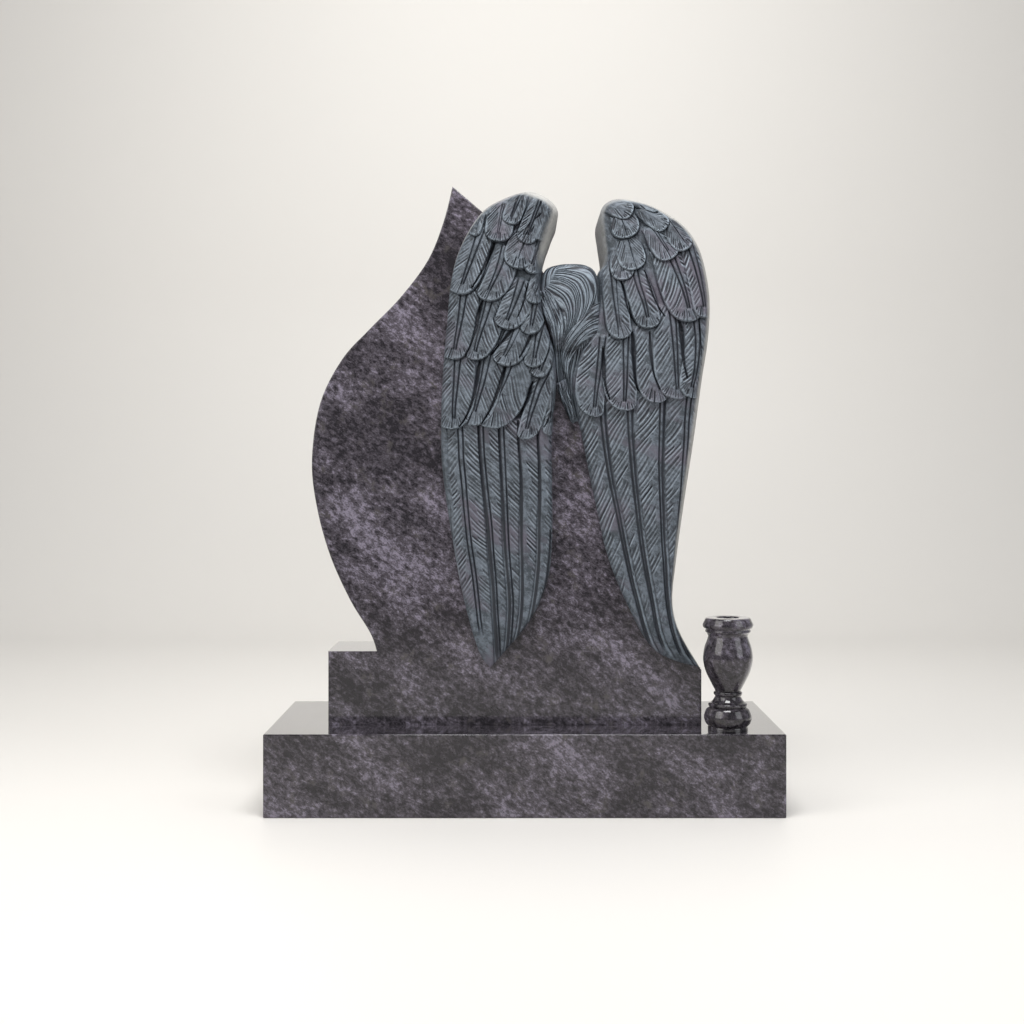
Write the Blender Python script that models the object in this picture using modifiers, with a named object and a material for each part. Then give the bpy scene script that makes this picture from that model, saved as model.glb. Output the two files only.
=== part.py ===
"""Granite headstone carved with a bowed head of hair between two folded wings, with its plinth and a turned vase.

Run it with blender --background --python part.py, or from Blender's text editor. Metres, +Z up,
the carved face towards -Y, and the origin under the middle of the plinth.
"""

import math

import bmesh
import bpy
from mathutils import Matrix

# Plinth: its length follows what stands on it
PLINTH_DEPTH = 0.305
PLINTH_HEIGHT = 0.122
LEFT_LEDGE = 0.085
RIGHT_LEDGE = 0.114
ARRIS = 0.002

# Headstone, sawn and carved from one slab
STONE_WIDTH = 0.563
STONE_HEIGHT = 0.812
STONE_THICKNESS = 0.130
STONE_SETBACK = 0.078
STEP_HEIGHT = 0.111
BED_GAP = 0.0003

# Carving: how far it stands out from the polished face
SHOULDER_RISE = 0.030
TIP_RISE = 0.009
EDGE_ROUND = 0.020
FEATHER_LIFT = 0.0065
FEATHER_CROWN = 0.0034
HEAD_RISE = 0.030
LOCK_LIFT = 0.003
CARVING_INSET = 0.0008
CARVING_ROOT = 0.012

# Turned vase, standing in front of the stone's right corner
VASE_HEIGHT = 0.166
VASE_RADIUS = 0.0374
VASE_FROM_STONE = 0.0344
VASE_FROM_FRONT = 0.0414
BORE_RADIUS = 0.0167
BORE_DEPTH = 0.086
VASE_SIDES = 24

PLINTH_LENGTH = LEFT_LEDGE + STONE_WIDTH + RIGHT_LEDGE
PLINTH_FRONT = -PLINTH_DEPTH / 2
STONE_LEFT = -PLINTH_LENGTH / 2 + LEFT_LEDGE
STONE_FOOT = PLINTH_HEIGHT + BED_GAP
FACE = PLINTH_FRONT + STONE_SETBACK
BACK = FACE + STONE_THICKNESS

# Outlines are drawn in percent of the stone's width and height, from its lower left corner
OGEE = [(33.3, 100.0), (30.9, 93.5), (26.7, 86.3), (19.2, 79.3), (11.2, 73.6), (3.7, 67.9), (-2.2, 59.7),
        (-4.4, 49.3), (-3.1, 40.5), (0.5, 31.4), (5.9, 23.1), (11.2, 17.1), (13.0, 13.7)]
HEAD_TOP = [(58.0, 84.2), (60.0, 85.1), (64.8, 85.5), (68.8, 85.4), (70.6, 84.5), (71.9, 83.4)]

# Each wing's two sides, from its top to its lowest feather tip
LEFT_WING_SIDES = (
    [(53.2, 98.9), (46.1, 97.4), (40.6, 94.8), (35.6, 89.1), (32.9, 82.7), (31.6, 73.5), (30.5, 64.1),
     (30.1, 54.8), (30.5, 47.4), (32.7, 36.2), (36.1, 23.7), (40.1, 14.0), (43.4, 10.5)],
    [(53.2, 98.9), (58.8, 97.7), (61.7, 95.0), (60.0, 91.3), (57.9, 86.7), (57.2, 80.8), (58.0, 75.3),
     (60.3, 70.6), (61.3, 64.1), (60.1, 52.9), (60.1, 34.4), (58.6, 26.1), (54.0, 19.2), (47.4, 13.6),
     (43.4, 10.5)],
)
RIGHT_WING_SIDES = (
    [(77.6, 97.6), (73.3, 96.6), (71.8, 94.2), (72.5, 90.5), (73.3, 86.0), (71.9, 83.4), (71.7, 79.0),
     (70.1, 73.5), (66.9, 68.7), (65.0, 63.2), (68.2, 52.0), (71.2, 41.9), (74.6, 31.6), (80.0, 22.3),
     (87.5, 13.8), (99.8, 10.5)],
    [(77.6, 97.6), (83.5, 97.1), (89.6, 95.3), (95.5, 92.4), (99.3, 88.4), (101.4, 83.2), (102.2, 78.1),
     (101.7, 71.5), (99.9, 63.2), (97.9, 52.9), (95.5, 41.9), (93.3, 30.7), (92.3, 22.9), (94.2, 17.3),
     (99.8, 10.5)],
)

# A row of short feathers: how many, half widths of the first and last, and (tip, root) of three of them
LEFT_ROWS = [
    (5, 2.9, 2.8, ((33.3, 54.1), (34.6, 69.6)), ((45.8, 54.2), (49.2, 69.6)), ((59.1, 54.1), (59.9, 64.9))),
    (4, 3.4, 3.0, ((33.6, 67.9), (35.4, 81.0)), ((45.3, 66.6), (49.0, 79.2)), ((58.3, 64.0), (59.1, 75.1))),
    (4, 2.9, 3.3, ((35.7, 79.7), (39.1, 91.3)), ((44.9, 76.4), (48.2, 86.5)), ((54.0, 72.0), (54.6, 80.6))),
    (3, 1.9, 3.4, ((40.2, 91.2), (42.3, 94.9)), ((45.3, 89.3), (46.6, 95.2)), ((50.6, 84.7), (51.4, 91.5))),
    (3, 2.6, 2.2, ((49.0, 92.1), (50.6, 97.4)), ((52.2, 89.9), (55.1, 96.7)), ((56.6, 89.6), (58.6, 96.2))),
]
RIGHT_ROWS = [
    (5, 4.5, 2.6, ((70.5, 57.2), (70.0, 70.5)), ((85.4, 59.0), (84.6, 75.5)), ((97.6, 60.7), (98.4, 77.9))),
    (4, 3.3, 2.7, ((76.4, 71.8), (74.2, 83.4)), ((88.6, 74.2), (83.6, 85.8)), ((99.4, 75.1), (96.6, 88.9))),
    (4, 3.2, 2.6, ((78.0, 82.5), (75.6, 89.9)), ((86.2, 84.2), (81.7, 91.8)), ((96.8, 86.7), (90.9, 94.0))),
    (3, 3.8, 2.6, ((79.4, 90.1), (75.3, 95.0)), ((85.0, 91.0), (79.6, 96.0)), ((91.3, 92.0), (83.3, 96.2))),
]

# Long feathers: each runs down its wing at a steady share of the width between the wing's two sides
LEFT_LONG = {"top": 57.0, "shares": (0.17, 0.37, 0.55, 0.72, 0.88), "ends": (11.2, 12.9, 15.0, 18.0, 23.5)}
RIGHT_LONG = {"top": 61.0, "shares": (0.95, 0.76, 0.50, 0.21), "ends": (12.8, 13.2, 14.6, 17.5)}
LONG_HALF_WIDTH = 4.6

# Hair: locks spread between two guide lines, each drawn from the crown downwards
HAIR = [
    (6, [(58.4, 82.9), (59.1, 80.3), (62.0, 77.3), (63.9, 74.2), (63.9, 70.5), (62.5, 67.7)],
     [(69.7, 84.3), (71.0, 82.5), (71.1, 78.8), (69.5, 75.5), (66.5, 71.8), (63.6, 67.7)]),
    (3, [(57.6, 80.4), (58.5, 78.3), (60.2, 76.0), (61.5, 73.3), (62.0, 69.6), (62.0, 66.8)],
     [(58.0, 75.6), (58.6, 74.4), (59.6, 73.0), (60.4, 71.2), (61.0, 69.6), (61.4, 67.8)]),
    (4, [(71.6, 78.0), (69.5, 76.0), (65.7, 73.3), (62.8, 70.5), (61.4, 67.3), (61.7, 64.0), (62.8, 60.3),
         (64.7, 56.6)],
     [(71.6, 70.9), (69.8, 69.2), (67.4, 67.4), (65.9, 65.6), (65.2, 63.6), (65.3, 61.3), (66.1, 58.9),
      (67.3, 56.6)]),
]
HEAD_CENTRE = (64.9, 77.1)
HEAD_HALF_WIDTH = 8.0
HEAD_HALF_HEIGHT = 8.1

# Vase profile in percent of its radius and height, from the rim down to the foot
VASE_RIM = [(81, 100.0), (87, 99.6), (91, 98.6), (93, 97.2)]
VASE_BEAD = [(97, 95.6), (100, 93.4), (97, 91.0), (89, 89.8), (90, 87.6), (84, 86.2)]
VASE_BODY = [(78, 83.4), (84, 79.0), (92, 74.0), (97.5, 66.5), (97, 60.5), (88, 52.0), (71, 43.6), (52, 35.6)]
VASE_STEM = [(50, 34.6), (56, 33.4), (56, 31.6), (51, 30.2), (53, 28.6), (63, 25.4), (76, 23.6), (77, 21.6), (73, 20.4)]
VASE_BALL = [(84, 18.6), (93, 13.6), (94, 10.2), (88, 6.0), (77, 3.2)]
VASE_FOOT = [(79, 2.2), (79, 0.0)]

# Base colour and roughness of each piece
MATERIALS = {
    "plinth_granite": ((0.085, 0.075, 0.090, 1.0), 0.12),
    "headstone_granite": ((0.110, 0.112, 0.128, 1.0), 0.40),
    "vase_granite": ((0.075, 0.070, 0.082, 1.0), 0.10),
}


def clear_scene():
    for obj in list(bpy.data.objects):
        bpy.data.objects.remove(obj, do_unlink=True)


def new_collection(name):
    collection = bpy.data.collections.new(name)
    bpy.context.scene.collection.children.link(collection)
    return collection


def granite(name):
    colour, roughness = MATERIALS[name]
    material = bpy.data.materials.new(name)
    material.use_nodes = True
    shader = material.node_tree.nodes["Principled BSDF"]
    shader.inputs["Base Color"].default_value = colour
    shader.inputs["Roughness"].default_value = roughness
    shader.inputs["Metallic"].default_value = 0.0
    return material


def smooth_line(points, per_span):
    """A line that passes smoothly through the points, with per_span steps between two of them."""
    line = []
    last = len(points) - 1
    for i in range(last):
        p0, p1, p2, p3 = (points[max(0, min(last, i + k))] for k in (-1, 0, 1, 2))
        for step in range(per_span):
            t = step / per_span
            line.append(tuple(
                0.5 * (2 * b + (c - a) * t + (2 * a - 5 * b + 4 * c - d) * t * t + (3 * b - a - 3 * c + d) * t ** 3)
                for a, b, c, d in zip(p0, p1, p2, p3)))
    line.append(tuple(points[-1]))
    return line


def through_three(a, b, c, t):
    """The value at t of the curve that is a at 0, b at one half and c at 1."""
    return a * (1 - t) * (1 - 2 * t) + b * 4 * t * (1 - t) + c * t * (2 * t - 1)


def ease(t):
    t = max(0.0, min(1.0, t))
    return t * t * (3 - 2 * t)


def on_stone(point):
    """The x and z in metres of a point drawn in percent of the stone's width and height."""
    return STONE_LEFT + point[0] / 100 * STONE_WIDTH, STONE_FOOT + point[1] / 100 * STONE_HEIGHT


def x_on_side(side, level):
    """Where a wing's side crosses a level, both in percent."""
    for (x0, z0), (x1, z1) in zip(side, side[1:]):
        if z0 >= level >= z1:
            return x0 + (x1 - x0) * (z0 - level) / max(z0 - z1, 1e-9)
    return side[-1][0] if level < side[-1][1] else side[0][0]


class Wing:
    """One wing's outline and the height of its body over the polished face."""

    def __init__(self, sides):
        self.sides = [smooth_line(side, 6) for side in sides]
        self.top = self.sides[0][0][1]
        self.foot = self.sides[0][-1][1]
        self.outline = [on_stone(p) for p in self.sides[0] + self.sides[1][::-1]]

    def across(self, share, level):
        left, right = (x_on_side(side, level) for side in self.sides)
        return left + (right - left) * share, level

    def kept_inside(self, x, z):
        """Draws a point that would pass the wing's side back onto the stone, in metres."""
        level = (z - STONE_FOOT) / STONE_HEIGHT * 100
        level = min(self.top - 0.4, level)
        left, right = (on_stone((x_on_side(side, level), level))[0] for side in self.sides)
        widening = max(0.0, 2 * EDGE_ROUND - (right - left)) / 2
        left -= widening
        width = right + widening - left
        share = (x - left) / width
        margin = 0.06
        edge = 2 * CARVING_INSET / width
        if share < margin:
            share = edge + (margin - edge) * math.exp((share - margin) / margin)
        elif share > 1 - margin:
            share = 1 - edge - (margin - edge) * math.exp((1 - margin - share) / margin)
        return left + width * share, STONE_FOOT + level / 100 * STONE_HEIGHT

    def rise(self, x, z):
        """How far the wing's body stands out at a point, in metres."""
        level = (z - STONE_FOOT) / STONE_HEIGHT * 100
        crown = TIP_RISE + (SHOULDER_RISE - TIP_RISE) * ease((level - self.foot) / (0.8 * (self.top - self.foot)))
        inside = min(1.0, distance_to_outline(x, z, self.outline) / EDGE_ROUND)
        return crown * math.sqrt(1 - (1 - inside) ** 2)


def distance_to_outline(x, z, outline):
    nearest = math.inf
    for (x0, z0), (x1, z1) in zip(outline, outline[1:]):
        dx, dz = x1 - x0, z1 - z0
        length = dx * dx + dz * dz
        t = 0.0 if length == 0 else max(0.0, min(1.0, ((x - x0) * dx + (z - z0) * dz) / length))
        nearest = min(nearest, math.hypot(x - x0 - t * dx, z - z0 - t * dz))
    return nearest


def add_object(name, mesh, collection, material):
    obj = bpy.data.objects.new(name, mesh)
    collection.objects.link(obj)
    if material:
        mesh.materials.append(material)
    return obj


def loft(name, rings, collection):
    """A closed solid through rings of the same number of corners, with flat ends."""
    bm = bmesh.new()
    rows = [[bm.verts.new(corner) for corner in ring] for ring in rings]
    for a, b in zip(rows, rows[1:]):
        for i in range(len(a)):
            j = (i + 1) % len(a)
            bm.faces.new((a[i], a[j], b[j], b[i]))
    bm.faces.new(rows[0][::-1])
    bm.faces.new(rows[-1])
    bmesh.ops.recalc_face_normals(bm, faces=bm.faces[:])
    mesh = bpy.data.meshes.new(name)
    bm.to_mesh(mesh)
    bm.free()
    obj = add_object(name, mesh, collection, None)
    obj.hide_render = True
    obj.display_type = "WIRE"
    return obj


def prism(name, outline, front, back, collection, material):
    """A flat outline of (x, z) points, filled and given thickness along Y."""
    curve = bpy.data.curves.new(name, "CURVE")
    curve.dimensions = "2D"
    curve.fill_mode = "BOTH"
    curve.extrude = (back - front) / 2
    spline = curve.splines.new("POLY")
    spline.points.add(len(outline) - 1)
    for point, (x, z) in zip(spline.points, outline):
        point.co = (x, z, 0.0, 1.0)
    spline.use_cyclic_u = True
    drawn = bpy.data.objects.new(name + "_outline", curve)
    collection.objects.link(drawn)
    graph = bpy.context.evaluated_depsgraph_get()
    mesh = bpy.data.meshes.new_from_object(drawn.evaluated_get(graph))
    bpy.data.objects.remove(drawn)
    bpy.data.curves.remove(curve)
    mesh.transform(Matrix.Translation((0, (front + back) / 2, 0)) @ Matrix.Rotation(math.radians(90), 4, "X"))
    bm = bmesh.new()
    bm.from_mesh(mesh)
    bmesh.ops.remove_doubles(bm, verts=bm.verts[:], dist=1e-5)
    bmesh.ops.dissolve_limit(bm, angle_limit=math.radians(0.5), verts=bm.verts[:], edges=bm.edges[:])
    bmesh.ops.recalc_face_normals(bm, faces=bm.faces[:])
    middle = (front + back) / 2
    rims = [edge for edge in bm.edges if (edge.verts[0].co.y < middle) == (edge.verts[1].co.y < middle)]
    bmesh.ops.bevel(bm, geom=rims, offset=ARRIS, offset_type="OFFSET", segments=1, affect="EDGES")
    bm.to_mesh(mesh)
    bm.free()
    mesh.name = name
    return add_object(name, mesh, collection, material)


# Carving

# Sections as (place across, height): a feather has a rib along its middle, a lock is a plain ridge
FEATHER_SECTION = ((-1.0, 0.0), (-0.16, 0.62), (0.0, 1.0), (0.16, 0.62), (1.0, 0.0))
LOCK_SECTION = ((-1.0, 0.0), (0.0, 1.0), (1.0, 0.0))
# Stations along a feather as (share of its length, share of its half width)
BLADE_STATIONS = ((0.0, 0.78), (0.34, 0.95), (0.70, 1.0), (0.87, 0.85), (0.96, 0.54), (1.0, 0.15))


def ribbon(name, path, half_widths, section, surface, lifts, crown, place, collection):
    """A raised ribbon along a path on the face, with its root in the stone.

    section pairs places across it with heights, surface gives the height under a point, lifts the height
    over it at each station, and place may move a point so that it stays on the stone.
    """
    rings = []
    last = len(path) - 1
    for i, (x, z) in enumerate(path):
        x0, z0 = path[max(0, i - 1)]
        x1, z1 = path[min(last, i + 1)]
        length = math.hypot(x1 - x0, z1 - z0)
        across_x, across_z = -(z1 - z0) / length, (x1 - x0) / length
        ring = []
        for across, height in section:
            px, pz = place(x + across_x * half_widths[i] * across, z + across_z * half_widths[i] * across)
            ring.append((px, FACE - surface(px, pz) - lifts[i] - crown * height, pz))
        for corner in (ring[-1], ring[0]):
            ring.append((corner[0], FACE + CARVING_ROOT, corner[2]))
        rings.append(ring)
    return loft(name, rings, collection)


def feather(name, wing, path, half_width, layer, collection):
    """One feather along a path in metres: tucked in at its root, lifted and rounded at its tip."""
    line = [point_along(path, share) for share, _ in BLADE_STATIONS]
    widths = [half_width * share for _, share in BLADE_STATIONS]
    lifts = [layer + FEATHER_LIFT * share for share, _ in BLADE_STATIONS]
    ribbon(name, line, widths, FEATHER_SECTION, wing.rise, lifts, FEATHER_CROWN, wing.kept_inside, collection)


def point_along(path, share):
    """The point at a share of a path's length."""
    lengths = [math.dist(a, b) for a, b in zip(path, path[1:])]
    left = share * sum(lengths)
    for (a, b), length in zip(zip(path, path[1:]), lengths):
        if left <= length:
            return tuple(p + (q - p) * left / length for p, q in zip(a, b))
        left -= length
    return path[-1]


def short_feathers(name, wing, rows, collection):
    for r, (count, first_width, last_width, *three) in enumerate(rows):
        layer = 0.0012 * (r + 1)
        for i in range(count):
            t = i / (count - 1)
            tip, root = (
                on_stone([through_three(*(pair[end][axis] for pair in three), t) for axis in (0, 1)])
                for end in (0, 1))
            half_width = (first_width + (last_width - first_width) * t) / 100 * STONE_WIDTH
            feather(f"{name}_row{r + 1}_feather{i + 1}", wing, [root, tip], half_width, layer, collection)


def long_feathers(name, wing, long_row, collection):
    for i, (share, end) in enumerate(zip(long_row["shares"], long_row["ends"])):
        levels = [long_row["top"] + (end - long_row["top"]) * k / 9 for k in range(10)]
        path = [on_stone(wing.across(share, level)) for level in levels]
        layer = 0.0016 - 0.0008 * i
        feather(f"{name}_long_feather{i + 1}", wing, path, LONG_HALF_WIDTH / 100 * STONE_WIDTH, layer, collection)


def wing_body(name, wing, collection):
    """The rounded mass under the feathers, lofted from level to level."""
    rings = []
    levels = 22
    stations = 9
    highest = wing.top - 0.35
    lowest = wing.foot + 1.8
    for k in range(levels):
        turn = 0.5 - 0.5 * math.cos(math.pi * k / (levels - 1))
        level = highest + (lowest - highest) * turn
        left, z = on_stone(wing.across(0.0, level))
        right, _ = on_stone(wing.across(1.0, level))
        left += CARVING_INSET
        right -= CARVING_INSET
        ring = []
        for i in range(stations):
            share = 0.5 - 0.5 * math.cos(math.pi * i / (stations - 1))
            x = left + (right - left) * share
            ring.append((x, FACE - wing.rise(x, z), z))
        ring.append((right, FACE + CARVING_ROOT, z))
        ring.append((left, FACE + CARVING_ROOT, z))
        rings.append(ring)
    return loft(name, rings, collection)


def head_rise(x, z):
    """The height of the bowed head, and of the neck that trails below it, over the polished face."""
    cx, cz = on_stone(HEAD_CENTRE)
    across = (x - cx) / (HEAD_HALF_WIDTH / 100 * STONE_WIDTH)
    along = (z - cz) / (HEAD_HALF_HEIGHT / 100 * STONE_HEIGHT)
    dome = math.sqrt(max(0.0, 1 - across ** 2 - along ** 2))
    level = (z - STONE_FOOT) / STONE_HEIGHT * 100
    neck = 0.5 * ease((level - 55) / 16) * ease((86 - level) / 8)
    return HEAD_RISE * max(dome, neck)


def head(collection):
    """The dome of the head, sunk into the slab."""
    bm = bmesh.new()
    bmesh.ops.create_uvsphere(bm, u_segments=20, v_segments=12, radius=1.0)
    cx, cz = on_stone(HEAD_CENTRE)
    size = (HEAD_HALF_WIDTH / 100 * STONE_WIDTH, HEAD_RISE, HEAD_HALF_HEIGHT / 100 * STONE_HEIGHT)
    bmesh.ops.transform(bm, matrix=Matrix.LocRotScale((cx, FACE + CARVING_INSET, cz), None, size), verts=bm.verts[:])
    mesh = bpy.data.meshes.new("bowed_head")
    bm.to_mesh(mesh)
    bm.free()
    obj = add_object("bowed_head", mesh, collection, None)
    obj.hide_render = True
    obj.display_type = "WIRE"


def hair_locks(collection):
    for g, (count, first_guide, last_guide) in enumerate(HAIR):
        guides = [smooth_line(guide, 3) for guide in (first_guide, last_guide)]
        stations = 9
        for i in range(count):
            share = (i + 0.5) / count
            path = []
            spans = []
            for k in range(stations):
                a, b = (on_stone(point_along(guide, k / (stations - 1))) for guide in guides)
                path.append((a[0] + (b[0] - a[0]) * share, a[1] + (b[1] - a[1]) * share))
                spans.append(math.dist(a, b))
            half_widths = [max(0.0016, 0.62 * span / count) for span in spans]
            lifts = [LOCK_LIFT * (0.4 + 0.6 * math.sin(math.pi * k / (stations - 1))) for k in range(stations)]
            ribbon(f"hair_lock_{g + 1}_{i + 1}", path, half_widths, LOCK_SECTION, head_rise, lifts, LOCK_LIFT,
                   lambda x, z: (x, z), collection)


# Pieces

def stone_outline():
    """The whole stone seen from the front: foot, step, ogee, point, wing tops, head and the right side."""
    left_wing, right_wing = (
        [smooth_line(side, 4) for side in sides] for sides in (LEFT_WING_SIDES, RIGHT_WING_SIDES))
    ogee = smooth_line(OGEE, 3)
    step = (0.0, STEP_HEIGHT / STONE_HEIGHT * 100)
    outline = [(100.0, 0.0), (0.0, 0.0), step, (ogee[-1][0], step[1])]
    outline += [point for point in reversed(ogee) if point[1] > step[1] + 0.5]
    outline += [point for point in reversed(left_wing[0]) if point[1] > 94.7]
    outline += [point for point in left_wing[1][1:] if point[1] > 84.2]
    outline += smooth_line(HEAD_TOP, 2)
    outline += [point for point in reversed(right_wing[0]) if point[1] > 83.6]
    outline += [point for point in right_wing[1][1:] if point[1] > 11.2]
    outline.append((100.0, right_wing[1][-1][1] - 0.3))
    return [on_stone(point) for point in outline]


def make_plinth(collection, material):
    bm = bmesh.new()
    bmesh.ops.create_cube(bm, size=1.0)
    size = Matrix.Diagonal((PLINTH_LENGTH, PLINTH_DEPTH, PLINTH_HEIGHT, 1.0))
    bmesh.ops.transform(bm, matrix=Matrix.Translation((0, 0, PLINTH_HEIGHT / 2)) @ size, verts=bm.verts[:])
    mesh = bpy.data.meshes.new("plinth")
    bm.to_mesh(mesh)
    bm.free()
    plinth = add_object("plinth", mesh, collection, material)
    bevel = plinth.modifiers.new("eased_edges", "BEVEL")
    bevel.width = ARRIS
    bevel.segments = 1


def make_headstone(collection, carving, material):
    stone = prism("headstone", stone_outline(), FACE, BACK, collection, material)
    for name, sides, rows, long_row in (
            ("left_wing", LEFT_WING_SIDES, LEFT_ROWS, LEFT_LONG),
            ("right_wing", RIGHT_WING_SIDES, RIGHT_ROWS, RIGHT_LONG)):
        wing = Wing(sides)
        wing_body(name, wing, carving)
        long_feathers(name, wing, long_row, carving)
        short_feathers(name, wing, rows, carving)
    head(carving)
    hair_locks(carving)
    union = stone.modifiers.new("carving", "BOOLEAN")
    union.operation = "UNION"
    union.operand_type = "COLLECTION"
    union.collection = carving
    union.solver = "EXACT"


def vase_profile():
    """The half section of the vase as (radius, height), from the rim down, inwards under it and up the bore."""
    turned = VASE_RIM + VASE_BEAD + VASE_BODY + VASE_STEM + VASE_BALL + VASE_FOOT
    outside = [(r / 100 * VASE_RADIUS, z / 100 * VASE_HEIGHT) for r, z in turned]
    floor = VASE_HEIGHT - BORE_DEPTH
    mouth = 0.0015
    bore = [(0.0, 0.0), (0.0, floor), (BORE_RADIUS, floor + mouth), (BORE_RADIUS, VASE_HEIGHT - mouth),
            (BORE_RADIUS + mouth, VASE_HEIGHT)]
    return outside, bore


def make_vase(collection, material):
    outside, bore = vase_profile()
    line = outside + bore
    bm = bmesh.new()
    verts = [bm.verts.new((r, 0.0, z)) for r, z in line]
    for a, b in zip(verts, verts[1:]):
        if a.co.x > 0 or b.co.x > 0:
            bm.edges.new((a, b))
    bm.edges.new((verts[-1], verts[0]))
    mesh = bpy.data.meshes.new("vase")
    bm.to_mesh(mesh)
    bm.free()
    vase = add_object("vase", mesh, collection, material)
    vase.location = (STONE_LEFT + STONE_WIDTH + VASE_FROM_STONE, PLINTH_FRONT + VASE_FROM_FRONT,
                     PLINTH_HEIGHT + BED_GAP)
    screw = vase.modifiers.new("turned", "SCREW")
    screw.axis = "Z"
    screw.steps = VASE_SIDES
    screw.render_steps = VASE_SIDES
    screw.use_merge_vertices = True
    screw.merge_threshold = 0.0001
    screw.use_smooth_shade = True


def main():
    clear_scene()
    parts = new_collection("angel_wing_headstone")
    carving = new_collection("carving")
    make_plinth(parts, granite("plinth_granite"))
    make_headstone(parts, carving, granite("headstone_granite"))
    make_vase(parts, granite("vase_granite"))


if __name__ == "__main__":
    main()
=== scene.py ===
"""Granite headstone carved with a bowed head of hair between two folded wings, with its plinth and its vase.

The file is laid out as a Blender add-on and is run as a script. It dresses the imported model, and works in metres,
+Z up, with the carved face towards -Y. Outlines, feathers and locks are drawn in percent of the stone's width and
height, from its lower left corner, and the short lengths beside them are in millimetres.
"""

import math

import bmesh
import bpy
import numpy as np
from bpy.props import FloatProperty, FloatVectorProperty, PointerProperty
from mathutils import Matrix, Vector


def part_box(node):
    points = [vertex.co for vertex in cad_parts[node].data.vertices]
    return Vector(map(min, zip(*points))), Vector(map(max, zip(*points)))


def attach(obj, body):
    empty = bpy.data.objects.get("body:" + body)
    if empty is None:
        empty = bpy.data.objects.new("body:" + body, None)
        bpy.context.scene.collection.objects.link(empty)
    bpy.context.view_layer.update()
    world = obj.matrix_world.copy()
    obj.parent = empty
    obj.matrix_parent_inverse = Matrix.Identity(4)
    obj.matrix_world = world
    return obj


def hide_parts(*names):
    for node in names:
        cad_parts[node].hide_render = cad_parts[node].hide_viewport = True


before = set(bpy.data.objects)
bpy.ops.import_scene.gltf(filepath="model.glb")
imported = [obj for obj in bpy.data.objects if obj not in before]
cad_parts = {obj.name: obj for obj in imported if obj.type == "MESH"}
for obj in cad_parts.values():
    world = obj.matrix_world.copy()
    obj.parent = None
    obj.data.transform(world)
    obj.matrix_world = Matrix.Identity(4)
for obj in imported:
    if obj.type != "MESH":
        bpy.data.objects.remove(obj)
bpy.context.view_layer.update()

bl_info = {
    "name": "Winged Headstone",
    "version": (1, 0, 0),
    "blender": (4, 5, 0),
    "location": "3D View > Sidebar > Headstone",
    "description": "Dresses a granite headstone with two carved wings, its plinth and its turned vase",
    "category": "Add Mesh",
}

MM = 0.001

# The stone's box behind the carving in metres, as the source of the part has it, and its step's level in percent
STONE_WIDTH = 0.563
STONE_HEIGHT = 0.812
STONE_LEFT = -0.296
STONE_FOOT = 0.1223
STEP_LEVEL = 13.67
FACE = -0.0745
BACK = 0.0555

# Where the walls of the carved pieces end inside the stone: the wings' near its back, the hair's behind its face
WING_ROOT = BACK - 0.003
HAIR_ROOT = FACE + 0.012

# How far the carving stays inside its outline and inside a piece that lies over it, in metres, and how far the
# slab's own outline is drawn in behind the carving, in percent
CARVING_INSET = 0.0008
OVERLAP_INSET = 0.0015
SIDE_INSET = 0.6

# Grids of the carved pieces: points across and upwards on a wing, points across a lock and along the hair
WING_GRID = (250, 384)
LOCK_COLUMNS = 14
HAIR_ROWS = 170

# Shares of a wing's grid that go to its rolled edges, across and upwards, and how wide those edges roll over: at
# its sides low down, more at its shoulders, at its top, at its foot, and where it ends under or over another piece
SIDE_SHARE = 0.09
END_SHARE = 0.05
SIDE_ROLL = 0.007
SHOULDER_ROLL = 0.012
TOP_ROLL = 0.016
FOOT_ROLL = 0.010
PLAIN_END = 1e-4

# How much higher each row of feathers lies than the row below it
ROW_STEP = 1.2 * MM

# Barbs: how far they wander in widths of one barb, and how much they curl. Fans at the tips: the angle from one
# stroke to the next, and how far behind the end of the shaft they all start
BARB_DRIFT = 0.22
BARB_CURL = 0.16
FAN_STEP = math.radians(6.5)
FAN_START = 24 * MM

# Points closer than this are one point
SAME_PLACE = 1e-6

OGEE = [(33.3, 100.0), (30.9, 93.5), (26.7, 86.3), (19.2, 79.3), (11.2, 73.6), (3.7, 67.9), (-2.2, 59.7),
        (-4.4, 49.3), (-3.1, 40.5), (0.5, 31.4), (5.9, 23.1), (11.2, 17.1), (13.0, 13.7)]
HEAD_TOP = [(58.0, 84.2), (60.0, 85.1), (64.8, 85.5), (68.8, 85.4), (70.6, 84.5), (71.9, 83.4)]
LEFT_WING_SIDES = (
    [(53.2, 98.9), (46.1, 97.4), (40.6, 94.8), (35.6, 89.1), (32.9, 82.7), (31.6, 73.5), (30.5, 64.1),
     (30.1, 54.8), (30.5, 47.4), (32.7, 36.2), (36.1, 23.7), (40.1, 14.0), (43.4, 10.5)],
    [(53.2, 98.9), (58.8, 97.7), (61.7, 95.0), (60.0, 91.3), (57.9, 86.7), (57.2, 80.8), (58.0, 75.3),
     (60.3, 70.6), (61.3, 64.1), (60.1, 52.9), (60.1, 34.4), (58.6, 26.1), (54.0, 19.2), (47.4, 13.6),
     (43.4, 10.5)],
)
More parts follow.
